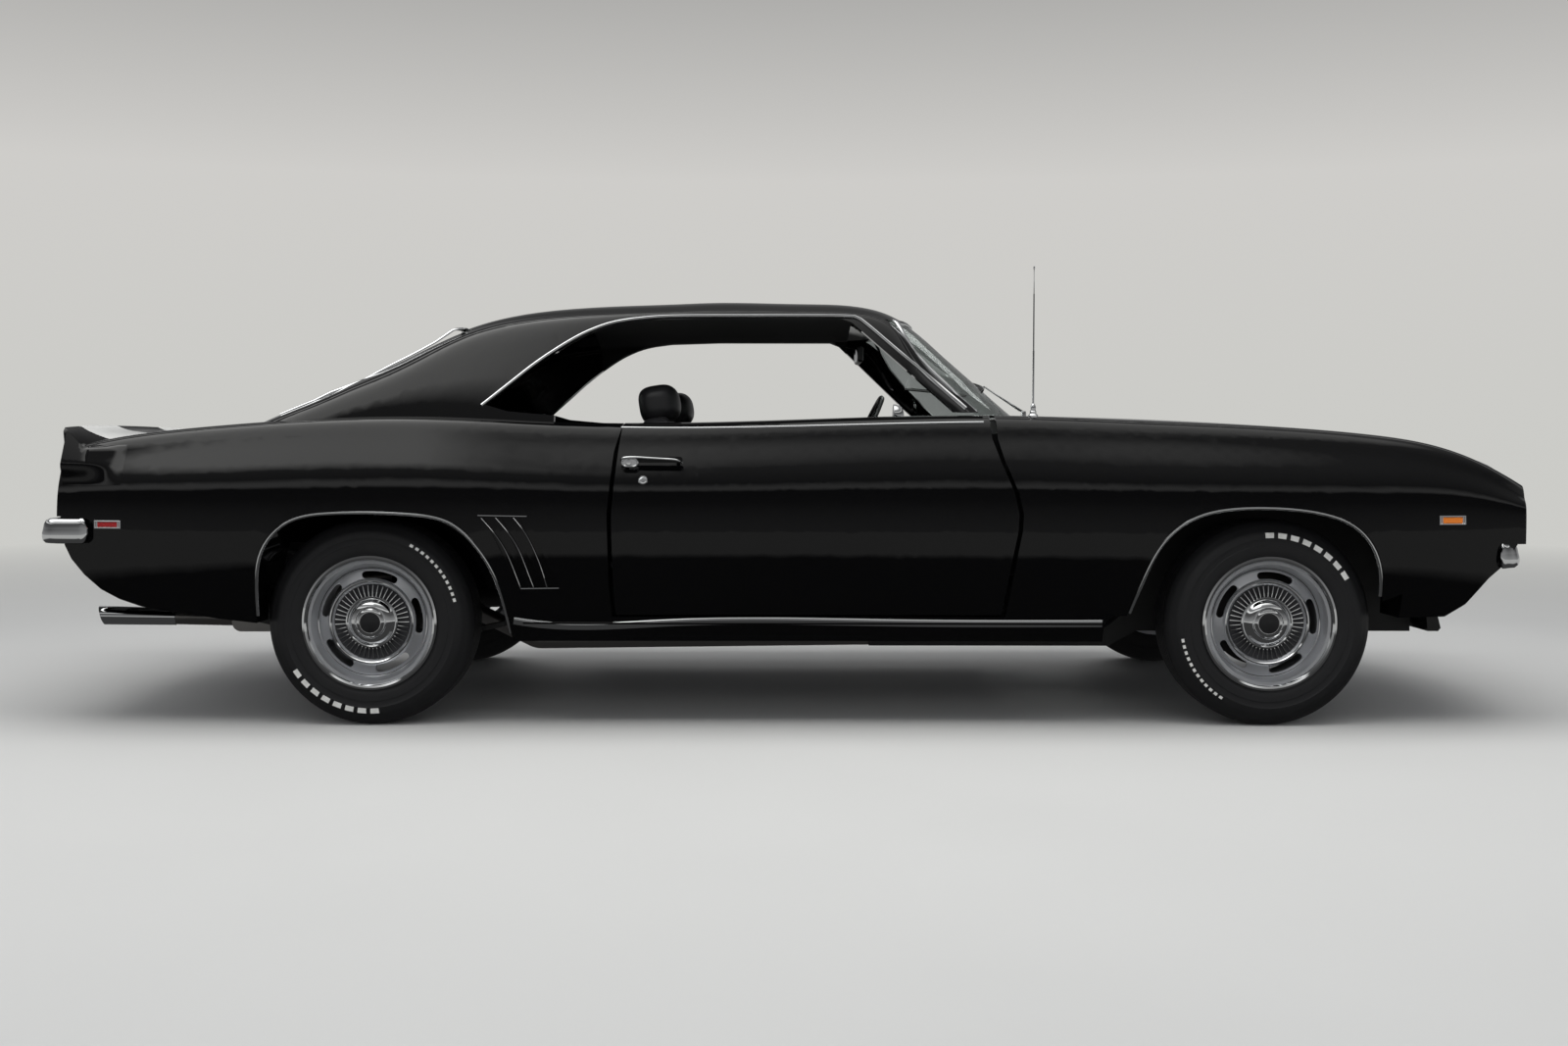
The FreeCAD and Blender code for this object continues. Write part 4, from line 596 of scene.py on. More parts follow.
# each fin's (radius, foot, top, half width), from its inner to its outer end
FIN = ((0.0800, 0.048, 0.0660, 0.0016), (0.0980, 0.050, 0.0665, 0.0021), (0.1135, 0.052, 0.0640, 0.0026))
# plain raised bars where the tyre maker's lettering would be: (middle angle, span, kind), and each kind's
# (count, inner radius, outer radius, filled share)
LARGE_BARS = (8, 0.2610, 0.2790, 0.66)
SMALL_BARS = (12, 0.2635, 0.2740, 0.55)
SIDEWALL_BARS = {"front": ((62.0, 66.0, LARGE_BARS), (214.0, 50.0, SMALL_BARS)),
                 "rear": ((244.0, 66.0, LARGE_BARS), (38.0, 50.0, SMALL_BARS))}
BAR_FOOT, BAR_TOP, BAR_SOFT = 0.0930, 0.0990, 0.0012
WALL_FALLS_FROM, WALL_FALL = 0.268, 0.0016


def on_wheel(centre, side, radius, angle, out, along_rim=0.0):
    """Point of a wheel; along_rim moves it square to its spoke."""
    spoke = Vector((math.cos(angle), 0, math.sin(angle)))
    flat = Vector((-math.sin(angle), 0, math.cos(angle)))
    return Vector(centre) + spoke * radius + flat * along_rim + Vector((0, side * out, 0))


def tyre_skin(name, centre, side, body):
    """Tyre with bulged ribbed sidewalls and a zigzag grooved tread."""
    marks = [(-TREAD_EDGE, 0.0)]
    for groove in TREAD_GROOVES:
        marks += [(groove + share * GROOVE_WIDE, deep) for share, deep in GROOVE_SHAPE]
    marks.append((TREAD_EDGE, 0.0))
    tread = [(TYRE_R - TREAD_SUNK - TREAD_CROWN * (y / TREAD_EDGE) ** 2 - deep, -y, abs(y) < TREAD_EDGE)
             for y, deep in marks]
    profile = [(r, w, False) for r, w in SIDEWALL] + tread + [(r, -w, False) for r, w in reversed(SIDEWALL)]
    rings = []
    for i, angle in enumerate(circle(TREAD_PITCHES * len(ZIGZAG))):
        wave = Vector((0, ZIGZAG[i % len(ZIGZAG)], 0))
        rings.append([on_wheel(centre, side, r, angle, w) + wave * zigzags for r, w, zigzags in profile])
    tyre = loft(name, rings, rubber, body, True, 30.0)
    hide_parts(name.replace("tyre_skin_", "tyre_"))


def slot_outline(angle):
    """Curved slot with round ends, as (x, z) points about the wheel's middle."""
    inner, outer = SLOT_RADII
    mid, r = (inner + outer) / 2, (outer - inner) / 2
    outline = []
    for end, radius, first in ((1, outer, 0.0), (-1, inner, math.pi)):
        for i in range(13):
            t = angle + end * SLOT_HALF * (i / 6 - 1)
            outline.append((radius * math.cos(t), radius * math.sin(t)))
        t = angle + end * SLOT_HALF
        spoke, ahead = Vector((math.cos(t), math.sin(t))), Vector((-math.sin(t), math.cos(t)))
        for i in range(1, 8):
            a = first + math.pi * i / 8
            outline.append(spoke * (mid + r * math.cos(a)) + ahead * (r * math.sin(a)))
    return outline


def cut_with(obj, rings):
    """Cuts the block between two rings out of the object."""
    verts, faces = skins([rings])
    mesh = bpy.data.meshes.new("cutter")
    mesh.from_pydata(verts, [], faces)
    outward(mesh)
    cutter = bpy.data.objects.new("cutter", mesh)
    bpy.context.scene.collection.objects.link(cutter)
    cut = obj.modifiers.new("cut", "BOOLEAN")
    cut.operation = "DIFFERENCE"
    cut.solver = "EXACT"
    cut.object = cutter
    bake(obj)
    bpy.data.objects.remove(cutter)


def wheel_ring(name, profile, centre, side, finish, body, steps):
    return turned(name, profile, centre, (0, side, 0), finish, body, steps, merge=1e-6)


def slotted_disc(tag, centre, side, body):
    disc = wheel_ring("disc_" + tag, DISC, centre, side, silver, body, 120)
    for i in range(SLOTS):
        outline = slot_outline(SLOT_FIRST + 2 * math.pi * i / SLOTS)
        cut_with(disc, [[(centre[0] + x, centre[1] + side * y, centre[2] + z) for x, z in outline]
                        for y in SLOT_DEPTH])
    bevelled(disc, 0.0014, 2, 50.0)
    dress(disc, silver, body, 40.0)
    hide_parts("wheel_" + tag)


def fins(tag, centre, side, body):
    blocks = []
    for angle in circle(FINS):
        rings = []
        for r, foot, top, half in FIN:
            corners = ((foot, half), (top, half * FIN_TAPER), (top, -half * FIN_TAPER), (foot, -half))
            rings.append([on_wheel(centre, side, r, angle, out, flat) for out, flat in corners])
        blocks.append(rings)
    piece("fins_" + tag, *skins(blocks), chrome, body, 30.0)


def bar_ring(centre, side, radii, angles, out):
    (r0, r1), (a0, a1) = radii, angles
    ring = []
    for r, t in ((r0, a0), (r0, a1), (r1, a1), (r1, a0)):
        fall = WALL_FALL if r >= WALL_FALLS_FROM else 0.0
        ring.append((centre[0] - side * r * math.cos(t), centre[1] + side * (out - fall),
                     centre[2] + r * math.sin(t)))
    return ring


def sidewall_bars(tag, centre, side, body):
    blocks = []
    for middle, span, (count, r0, r1, share) in SIDEWALL_BARS[tag.split("_")[0]]:
        half = math.radians(span) / count * share / 2
        for i in range(count):
            a = math.radians(middle) + math.radians(span) * ((i + 0.5) / count - 0.5)
            angles = (a - half, a + half)
            blocks.append([bar_ring(centre, side, (r0, r1), angles, BAR_FOOT),
                           bar_ring(centre, side, (r0 + BAR_SOFT, r1 - BAR_SOFT), angles, BAR_TOP)])
    piece("sidewall_bars_" + tag, *skins(blocks), white_rubber, body, 30.0)


for end in ("front", "rear"):
    for side, hand in SIDES:
        tag = end + "_" + hand
        low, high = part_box("tyre_" + tag)
        place = (tuple((low[i] + high[i]) / 2 for i in range(3)), side)
        body = "wheel_" + tag
        tyre_skin("tyre_skin_" + tag, *place, body)
        wheel_ring("rim_" + tag, RIM, *place, silver, body, 96)
        wheel_ring("trim_ring_" + tag, TRIM_RING, *place, chrome, body, 128)
        slotted_disc(tag, *place, body)
        wheel_ring("step_ring_" + tag, STEP_RING, *place, chrome, body, 120)
        wheel_ring("fin_back_" + tag, FIN_BACK, *place, fin_dark, body, 96)
        fins(tag, *place, body)
        wheel_ring("cap_" + tag, CAP, *place, chrome, body, 96)
        wheel_ring("cap_centre_" + tag, CAP_CENTRE, *place, plastic, body, 64)
        sidewall_bars(tag, *place, body)

# bright mouldings on the body, as (x, z) places on its side
FRONT_ARCH = [(0.984, 0.330), (1.031, 0.468), (1.078, 0.562), (1.180, 0.646), (1.293, 0.673), (1.419, 0.676),
              (1.560, 0.660), (1.682, 0.608), (1.742, 0.520), (1.758, 0.422), (1.756, 0.345)]
REAR_ARCH = [(-1.648, 0.339), (-1.642, 0.440), (-1.622, 0.540), (-1.540, 0.630), (-1.411, 0.658),
             (-1.165, 0.655), (-1.050, 0.630), (-0.975, 0.565), (-0.918, 0.470), (-0.885, 0.340),
             (-0.876, 0.285)]
ARCHES = (("front", FRONT_ARCH, (1.37, 0.42)), ("rear", REAR_ARCH, (-1.26, 0.40)))
LIP_OUT, LIP_SUNK, LIP_DRAWN = 0.005, 0.0052, 0.0095
ROCKER_LINE = [(-0.868, 0.326), (-0.840, 0.321), (-0.400, 0.319), (0.300, 0.319), (0.965, 0.319)]
DRIP = [(-0.985, 0.979), (-0.897, 1.053), (-0.822, 1.117), (-0.731, 1.180), (-0.670, 1.215), (-0.591, 1.246),
        (-0.489, 1.260), (-0.399, 1.266), (-0.100, 1.267), (0.170, 1.267), (0.192, 1.258), (0.300, 1.160),
        (0.420, 1.053), (0.528, 0.955)]
# three upright lines beside the louvres, then their top and their foot: (points, width)
LOUVRES = (([(-0.956, 0.639), (-0.920, 0.598), (-0.887, 0.548), (-0.863, 0.491), (-0.841, 0.427)], 0.0036),
           ([(-0.913, 0.640), (-0.875, 0.595), (-0.846, 0.548), (-0.825, 0.494), (-0.802, 0.428)], 0.0036),
           ([(-0.860, 0.640), (-0.825, 0.595), (-0.801, 0.548), (-0.780, 0.494), (-0.762, 0.428)], 0.0036),
           ([(-0.966, 0.6465), (-0.820, 0.6440)], 0.0046),
           ([(-0.841, 0.4262), (-0.727, 0.4275)], 0.0046))


def side_strip(name, points, side, section, finish, tree, step=0.02, lift=0.0, line=spline, centre=None):
    """Moulding along (x, z) places on the car's side; with a centre it is drawn in towards it."""
    path, normals = [], []
    for x, z in line(points, step):
        found = side_point(tree, x, z, side, lift)
        if found:
            inward = Vector((centre[0] - x, 0, centre[1] - z)).normalized() if centre else Vector()
            path.append(found[0] + inward * LIP_DRAWN)
            normals.append(found[1])
    sweep(name, path, normals, section, finish)


def offset_xz(points, distance, centre):
    """Moves (x, z) points away from the centre by a distance."""
    return [tuple(Vector(p) + (Vector(p) - Vector(centre)).normalized() * distance) for p in points]


def clear_side(x, z, side):
    """Outermost skin point near x, z: the surface that the louvre grooves are cut into."""
    near = [side_point(lower_skin, x + 0.008 * i, z, side) for i in range(-3, 4)]
    return Vector((x, max((f[0].y for f in near if f), key=abs), z))


for side, tag in SIDES:
    # the arch lips wrap the edge of each opening: placed by the skin just outside it, then drawn in
    for name, arch, centre in ARCHES:
        side_strip("arch_lip_%s_%s" % (name, tag), offset_xz(arch, LIP_OUT, centre), side,
                   half_round(0.012, 0.005), chrome, lower_skin, lift=-LIP_SUNK, centre=centre)
    side_strip("rocker_moulding_" + tag, ROCKER_LINE, side, half_round(0.024, 0.0045), chrome, lower_skin,
               0.05)
    side_strip("rocker_line_" + tag, ROCKER_LINE[1:], side, half_round(0.007, 0.0022, 0.0), paint,
               lower_skin, 0.05, 0.0036)
    side_strip("drip_moulding_" + tag, DRIP, side, half_round(0.013, 0.009), chrome, upper_skin, 0.015,
               line=soft_line)
    for i, (points, wide) in enumerate(LOUVRES):
        path = [clear_side(x, z, side) for x, z in spline(points)]
        sweep("louvre_line_%d_%s" % (i, tag), path, [Vector((0, side, 0))] * len(path),
              half_round(wide, 0.0022, 0.0008, 4), chrome)

# mouldings round the glass: the left half's (y, z) places, mirrored about the middle
glasshouse = tree_of(["pillars", "roof_panel", "quarter_right", "quarter_left", "windshield", "rear_window",
                      "cowl"])
FRONT_FRAME = [(0.676, 0.962), (0.650, 1.030), (0.622, 1.110), (0.592, 1.190), (0.574, 1.238), (0.548, 1.259),
               (0.400, 1.264), (0.0, 1.2645)]
REAR_FRAME = [(0.562, 0.955), (0.554, 1.000), (0.531, 1.080), (0.508, 1.150), (0.490, 1.208), (0.478, 1.230),
              (0.455, 1.2372), (0.300, 1.2378), (0.0, 1.2380)]


def evened(path, reach=4):
    """Path with each point's x averaged over its neighbours, so that edges it crosses leave no wave."""
    out = []
    for i, p in enumerate(path):
        span = min(reach, i, len(path) - 1 - i)
        near = path[i - span:i + span + 1]
        out.append(Vector((sum(q.x for q in near) / len(near), p.y, p.z)))
    return out


def frame_strip(name, half, face, width):
    found = [f for f in (end_point(glasshouse, y, z, face) for y, z in soft_line(half)) if f]
    path, normals = [[f[k] for f in found] + [Vector((f[k].x, -f[k].y, f[k].z)) for f in reversed(found[:-1])]
                     for k in (0, 1)]
    sweep(name, evened(path), normals, half_round(width, 0.006), chrome)


frame_strip("windshield_moulding", FRONT_FRAME, 1, 0.020)
frame_strip("rear_glass_moulding", REAR_FRAME, -1, 0.018)

# door handles, push buttons and locks
HANDLE_LINE = [(-0.5415, 0.892, 0.812), (-0.536, 0.902, 0.8175), (-0.520, 0.9045, 0.8205),
               (-0.470, 0.9050, 0.8195), (-0.400, 0.9045, 0.8155), (-0.368, 0.9020, 0.8110),
               (-0.356, 0.891, 0.8040)]
HANDLE_TALL, HANDLE_THICK, HANDLE_ENDS = 0.0036, 0.0038, 0.75
PLATE_AT = (-0.5135, 0.8055)
PLATE_RUN, PLATE_ROUND = 0.0115, 0.0145
PLATE_LEVELS = ((0.0, 0.8865), (0.0, 0.9022), (0.0018, 0.9040), (0.0036, 0.9040), (0.0052, 0.9026))
BUTTON_AT, LOCK_AT = (-0.5165, 0.9024, 0.8055), (-0.475, 0.752)
BUTTON = [(0.0, -0.001), (0.0092, -0.001), (0.0092, 0.0028), (0.0074, 0.0044), (0.0, 0.0048)]
LOCK = [(0.0, -0.002), (0.0140, -0.002), (0.0140, 0.0015), (0.0125, 0.0030), (0.0105, 0.0030),
        (0.0095, 0.0012), (0.0070, 0.0014), (0.0066, 0.0030), (0.0, 0.0032)]


def door_handle(side, tag):
    """Bent grip, thinner at its two ends."""
    path = spline(HANDLE_LINE, 0.006)
    rings = []
    for i, q in enumerate(path):
        ahead = along(path, i)
        out = (Vector((0, 1, 0)) - ahead * ahead.y).normalized()
        full = 1.0 if 1 < i < len(path) - 2 else HANDLE_ENDS
        ring = oval(q, ahead.cross(out) * HANDLE_TALL * full, out * HANDLE_THICK * full, 12)
        rings.append([(p.x, side * p.y, p.z) for p in ring])
    loft("door_handle_" + tag, rings, chrome, "door_" + tag)


def plate_ring(inset, y, side):
    """Long outline with round ends, drawn in by inset towards its middle."""
    kx, kz = 1 - inset / (PLATE_RUN + PLATE_ROUND), 1 - inset / PLATE_ROUND
    return [(PLATE_AT[0] + end * (PLATE_RUN + PLATE_ROUND * math.sin(t)) * kx, side * y,
             PLATE_AT[1] + end * PLATE_ROUND * math.cos(t) * kz)
            for end in (1, -1) for t in [math.pi * i / 8 for i in range(9)]]


for side, tag in SIDES:
    door = "door_" + tag
    door_handle(side, tag)
    loft("handle_plate_" + tag, [plate_ring(inset, y, side) for inset, y in PLATE_LEVELS], chrome, door)
    x, y, z = BUTTON_AT
    turned("door_button_" + tag, BUTTON, (x, side * y, z), (0, side, 0), chrome, door, 36)
    place, normal = side_point(lower_skin, *LOCK_AT, side)
    turned("door_lock_" + tag, LOCK, place, normal, chrome, door, 40)

# belt mouldings on the doors: (x, z) places
DOOR_BELT = [(-0.548, 0.9075), (-0.300, 0.917), (0.000, 0.924), (0.300, 0.930), (0.478, 0.934),
             (0.560, 0.936)]
BELT_Y = 0.806
for side, tag in SIDES:
    path = [below(lower_skin, x, side * BELT_Y) for x, _ in spline(DOOR_BELT, 0.04)]
    sweep("door_belt_" + tag, path, [UP] * len(path), half_round(0.007, 0.004), brushed, "door_" + tag)

# side markers: flat lens in a rectangular bright frame, as x and z places
MARKERS = (("rear", (-2.1345, -2.0505, 0.6035, 0.6285), red_lens),
           ("front", (1.9245, 2.0085, 0.6195, 0.6475), amber))
MARKER_FRAME = ((0.0, -0.002), (0.0, 0.0040), (0.0012, 0.0056), (0.0040, 0.0056), (0.0052, 0.0040),
                (0.0052, -0.002))
MARKER_LENS = ((0.0054, -0.001), (0.0054, 0.0030), (0.0068, 0.0042))


def skin_loop(area, inset, out, side):
    """Rectangular loop of points on the side skin, drawn in by inset and lifted by out."""
    x0, x1, z0, z1 = area[0] + inset, area[1] - inset, area[2] + inset, area[3] - inset
    loop = [(x0 + (x1 - x0) * i / 6, z0) for i in range(6)]
    loop += [(x1, z0 + (z1 - z0) * i / 3) for i in range(3)]
    loop += [(x1 - (x1 - x0) * i / 6, z1) for i in range(6)]
    loop += [(x0, z1 - (z1 - z0) * i / 3) for i in range(3)]
    return [side_point(lower_skin, x, z, side, out)[0] for x, z in loop]


for side, tag in SIDES:
    for name, area, finish in MARKERS:
        ending = name + "_" + tag
        loft("marker_frame_" + ending, [skin_loop(area, *level, side) for level in MARKER_FRAME], chrome,
             closed=True)
        glow = loft("marker_lens_" + ending, [skin_loop(area, *level, side) for level in MARKER_LENS], finish)
        if name == "rear" and side == RIGHT:
            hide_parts("side_markers")
        x0, x1, z0, z1 = area
        for end, x in (("a", x0 + 0.0085), ("b", x1 - 0.0085)):
            heights = (z0 + 0.003, (z0 + z1) / 2, z1 - 0.003)
            found = [side_point(lower_skin, x, z, side, 0.0035) for z in heights]
            sweep("marker_bar_%s_%s_%s" % (name, end, tag), [f[0] for f in found], [f[1] for f in found],
                  half_round(0.005, 0.0022), chrome)

# bumpers: the section is (back from the face, height), both as shares of the whole; wings with a share of at
# least END_FULL have the full height
BLADE = [(-1.0, 0.10), (-0.60, 0.0), (-0.25, 0.03), (-0.06, 0.13), (0.0, 0.27), (-0.01, 0.42), (-0.07, 0.55),
         (-0.10, 0.62), (-0.17, 0.80), (-0.32, 0.93), (-0.60, 1.0), (-1.0, 1.0), (-1.0, 0.92), (-0.62, 0.93),
         (-0.36, 0.86), (-0.36, 0.14), (-0.62, 0.07), (-1.0, 0.17)]
END_FULL = 0.45
BOW_STEPS, BOW_SHARE = 32, 0.985
# left wings: (x, y, share of the full section)
FRONT_WING = [(2.190, 0.846, 0.98), (2.176, 0.860, 0.90), (2.158, 0.871, 0.75), (2.142, 0.877, 0.60),
              (2.130, 0.880, 0.40), (2.123, 0.880, 0.16), (2.120, 0.876, 0.03)]
REAR_WING = [(2.285, 0.8800, 0.95), (2.262, 0.8860, 0.85), (2.230, 0.8910, 0.75), (2.195, 0.8960, 0.70),
             (2.175, 0.8975, 0.60), (2.160, 0.8965, 0.35), (2.152, 0.8920, 0.12), (2.150, 0.8880, 0.03)]


def bumper(name, face, corner_x, mid_x, half, wing, z0, z1, depth):
    """Chrome blade bowed in plan with wrapped rounded ends; face is 1 at the front and -1 at the rear."""
    rise = mid_x - corner_x
    radius = (half ** 2 + rise ** 2) / (2 * rise)
    end = math.asin(half / radius) * BOW_SHARE
    bow = [end * (i / BOW_STEPS * 2 - 1) for i in range(BOW_STEPS + 1)]
    plan = [(mid_x - radius + radius * math.cos(a), radius * math.sin(a), 1.0) for a in bow]
    path = spline([(x, -y, k) for x, y, k in reversed(wing)] + plan + wing)
    rings = []
    for i, p in enumerate(path):
        ahead = along(path, i).xy.normalized()
        out = Vector((ahead.y, -ahead.x))
        k = max(p.z, 0.05)
        tall = (z1 - z0) * min(1.0, k / END_FULL) ** 0.5
        ring = []
        for u, v in BLADE:
            q = p.xy + out * (u * depth * k)
            ring.append((face * q.x, q.y, (z0 + z1) / 2 + (v - 0.5) * tall))
        rings.append(ring)
    return loft(name, rings, chrome, smooth=40.0)


front_blade = bumper("front_bumper_blade", 1, 2.196, 2.362, 0.838, FRONT_WING, 0.486, 0.563, 0.046)
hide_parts("front_bumper")
rear_blade = bumper("rear_bumper_blade", -1, 2.300, 2.362, 0.872, REAR_WING, 0.558, 0.634, 0.040)
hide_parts("rear_bumper")
for side, tag in SIDES:
    rounded_box("front_bumper_bracket_" + tag, (2.085, 2.292), (0.398, 0.442), (0.502, 0.543), 0.004, under,
                segments=2, side=side)
    rounded_box("rear_bumper_bracket_" + tag, (-2.330, -2.264), (0.398, 0.442), (0.568, 0.616), 0.004, under,
                segments=2, side=side)

# headlamps: chrome bezel, reflector, fluted glass and bulb, as (radius, x) profiles
BEZEL = [(0.0835, 2.160), (0.0840, 2.212), (0.0832, 2.219), (0.0810, 2.222), (0.0775, 2.2185),
         (0.0750, 2.2100), (0.0735, 2.1990), (0.0760, 2.1980), (0.0790, 2.2060), (0.0800, 2.1600)]
REFLECTOR = [(0.0, 2.112), (0.030, 2.118), (0.055, 2.136), (0.070, 2.164), (0.0745, 2.198), (0.0765, 2.198),
             (0.0720, 2.162), (0.0570, 2.133), (0.031, 2.114), (0.0, 2.108)]
FLUTED = [(0.0, 2.2255), (0.025, 2.2235), (0.050, 2.2165), (0.065, 2.2090), (0.0745, 2.2000),
          (0.0745, 2.1960), (0.064, 2.2045), (0.049, 2.2120), (0.025, 2.2190), (0.0, 2.2210)]
BULB = [(0.0, 2.110), (0.010, 2.112), (0.010, 2.150), (0.006, 2.158), (0.0, 2.160)]
HEADLAMP = (("bezel", chrome, 96, BEZEL), ("reflector", chrome, 64, REFLECTOR),
            ("glass", lens_glass, 64, FLUTED), ("bulb", clear_lens, 24, BULB))
LAMP_Y, LAMP_Z = 0.650, 0.652
for side, tag in SIDES:
    for name, finish, steps, profile in HEADLAMP:
        made = turned("headlamp_%s_%s" % (name, tag), profile, (0, side * LAMP_Y, LAMP_Z), FORWARD, finish,
                      steps=steps)
        if name == "bezel" and side == RIGHT:
            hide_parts("headlamps")
    rounded_box("parking_lamp_" + tag, (2.150, 2.183), (0.470, 0.560), (0.3985, 0.4395), 0.006, clear_lens,
                side=side)

# tail lamps: bright frames, dividers and white centre lenses
TAIL_CORNERS = ((0.209, 0.644), (0.566, 0.644), (0.566, 0.771), (0.209, 0.771))
TAIL_STEP = 0.03
TAIL_X, TAIL_INSIDE = -2.30, -2.2
tail = tree_of(["tail_panel", "tail_lamps"])


def tail_lamp_frame(side, tag):
    path = []
    for i, (y0, z0) in enumerate(TAIL_CORNERS):
        y1, z1 = TAIL_CORNERS[(i + 1) % len(TAIL_CORNERS)]
        count = max(2, round(max(abs(y1 - y0), abs(z1 - z0)) / TAIL_STEP))
        for t in [j / count for j in range(count)]:
            y, z = side * (y0 + (y1 - y0) * t), z0 + (z1 - z0) * t
            x = end_point(tail, y, z, -1)[0].x
            path.append(Vector((x if x < TAIL_INSIDE else TAIL_X, y, z)))
    sweep("tail_lamp_frame_" + tag, path, [-FORWARD] * len(path), half_round(0.011, 0.007, 0.003, 5), chrome,
          closed=True, smooth=50.0)


for side, tag in SIDES:
    tail_lamp_frame(side, tag)
    for i, y in ((1, 0.330), (2, 0.445)):
        rounded_box("tail_lamp_divider_%d_%s" % (i, tag), (-2.3125, -2.290), (y - 0.0028, y + 0.0028),
                    (0.6480, 0.7670), 0.0015, chrome, segments=2, side=side)
    rounded_box("backup_lens_" + tag, (-2.3125, -2.296), (0.352, 0.423), (0.6860, 0.7290), 0.004, clear_lens,
                side=side)

# exhaust tips: bright sleeves over the pipe ends, cut on a slant
TIP_START, TIP_END = (-2.020, 0.5262, 0.3016), (-2.246, 0.5622, 0.3096)
# (share of the length, radius, share of the slant)
TIP = ((0.0, 0.0262, 0.0), (0.004, 0.0275, 0.0), (1.0, 0.0300, 0.5), (1.004, 0.0290, 0.5),
       (0.96, 0.0275, 0.5), (0.9, 0.0262, 0.0))
SLANT = 0.018
for side, tag in SIDES:
    start, end = [Vector((x, side * y, z)) for x, y, z in (TIP_START, TIP_END)]
    ahead = (end - start).normalized()
    across = ahead.cross(UP).normalized()
    up = across.cross(ahead)
    rings = []
    for share, r, slant in TIP:
        q = start + (end - start) * share
        rings.append(oval(q, across * r, up * r + ahead * slant * SLANT, 32))
    loft("exhaust_tip_" + tag, rings, chrome, closed=True, smooth=40.0)
    turned("exhaust_bore_" + tag, [(0.0, 0.0), (0.0264, 0.0), (0.0264, 0.002), (0.0, 0.002)],
           end - ahead * 0.0085, ahead, blade_rubber, steps=24)

# antenna: ringed chrome base, as (radius, height over the fender), and a stepped mast, as (radius, z)
AERIAL = (0.720, -0.748)
AERIAL_BASE = [(0.0, -0.004), (0.0150, -0.004), (0.0155, 0.004), (0.0120, 0.008), (0.0100, 0.009),
               (0.0105, 0.016), (0.0085, 0.018), (0.0080, 0.024), (0.0088, 0.028), (0.0060, 0.036),
               (0.0030, 0.040)]
AERIAL_MAST = [(0.0028, 1.150), (0.0022, 1.152), (0.0020, 1.324), (0.0013, 1.326), (0.0012, 1.400),
               (0.0026, 1.402), (0.0028, 1.406), (0.0018, 1.4095), (0.0, 1.410)]
foot = below(lower_skin, *AERIAL).z
mast = turned("antenna_mast", [(r, foot + h) for r, h in AERIAL_BASE] + AERIAL_MAST, (*AERIAL, 0.0), UP,
              chrome, steps=24)
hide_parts("antenna")

# spoiler ends: fairings that run each end of the lip into the quarter's side
FAIRING_X = (-2.247, -2.060)
FAIRING_LOW, FAIRING_TOP = 0.735, 0.857
FAIRING_COLUMNS, FAIRING_ROWS = 28, 18
# the spoiler block: its front, its side as (z, y) places, how it narrows to the rear, its top and its climb
BLOCK_FRONT, BLOCK_SIDE, BLOCK_NARROWS = -2.182, ((0.810, 0.8465), (0.840, 0.8315)), 0.055
BLOCK_TOP, BLOCK_CLIMB, CLIMB_RUN = 0.845, 0.052, 0.060
# the fairing lies this much outside the block's side, above its top and outside the quarter
OFF_SIDE, OFF_TOP, OFF_QUARTER = 0.0012, 0.0015, 0.0002
# it takes the block's form over these lengths: along X at the block's front, up from its foot, and at its top
BLOCK_BLEND, FOOT_BLEND, TOP_FROM, TOP_BLEND = 0.006, 0.068, 0.843, 0.014
CLEAR_Z = 0.862
# the quarter's skin is read at these two places and carried on behind the nearer one
QUARTER_READ = (-2.10, -2.14)


def ease(t):
    t = min(1.0, max(0.0, t))
    return t * t * (3 - 2 * t)


def quarter_y(x, z, side):
    """Side of the quarter carried on behind the spoiler block."""
    if x >= QUARTER_READ[1]:
        return abs(side_point(lower_skin, x, z, side)[0].y)
    a, b = [abs(side_point(lower_skin, place, z, side)[0].y) for place in QUARTER_READ]
    return b + (b - a) * (x - QUARTER_READ[1]) / (QUARTER_READ[1] - QUARTER_READ[0])


def shell_patch(name, rows, inward, finish, body=CAR, smooth=40.0):
    """Thin closed cover: rows of surface points and their copies moved by inward."""
    high, wide = len(rows), len(rows[0])
    outer = [Vector(q) for row in rows for q in row]
    verts = outer + [q + Vector(inward) for q in outer]
    count = len(outer)
    faces = []
    for r in range(high - 1):
        for i in range(wide - 1):
            q = r * wide + i
            faces.append((q, q + 1, q + wide + 1, q + wide))
            faces.append((count + q, count + q + wide, count + q + wide + 1, count + q + 1))
    rim = list(range(wide)) + [(r + 1) * wide - 1 for r in range(1, high)]
    rim += [count - 1 - i for i in range(1, wide)] + [r * wide for r in range(high - 2, 0, -1)]
    for i, q in enumerate(rim):
        k = rim[(i + 1) % len(rim)]
        faces.append((q, k, count + k, count + q))
    piece(name, verts, faces, finish, body, smooth)


def fairing_point(x, share, side):
    """Point of a fairing at x, share of the way from its foot to its top."""
    (za, ya), (zb, yb) = BLOCK_SIDE
    behind = BLOCK_FRONT - x
    on_block = ease(behind / BLOCK_BLEND)
    climb = BLOCK_TOP + BLOCK_CLIMB * min(1.0, max(0.0, behind / CLIMB_RUN))
    top = FAIRING_TOP + (climb + OFF_TOP - FAIRING_TOP) * on_block
    z = FAIRING_LOW + (top - FAIRING_LOW) * share
    skin = quarter_y(x, min(z, CLEAR_Z), side)
    block = ya + (yb - ya) * (z - za) / (zb - za) - BLOCK_NARROWS * max(0.0, behind) + OFF_SIDE
    ahead = ease((FAIRING_X[1] - x) / (FAIRING_X[1] - BLOCK_FRONT))
    low = ease((z - FAIRING_LOW) / FOOT_BLEND)
    high = 1 - ease((z - TOP_FROM) / TOP_BLEND) * (1 - on_block)
    return (x, side * (skin + max(0.0, block - skin) * ahead * low * high + OFF_QUARTER), z)


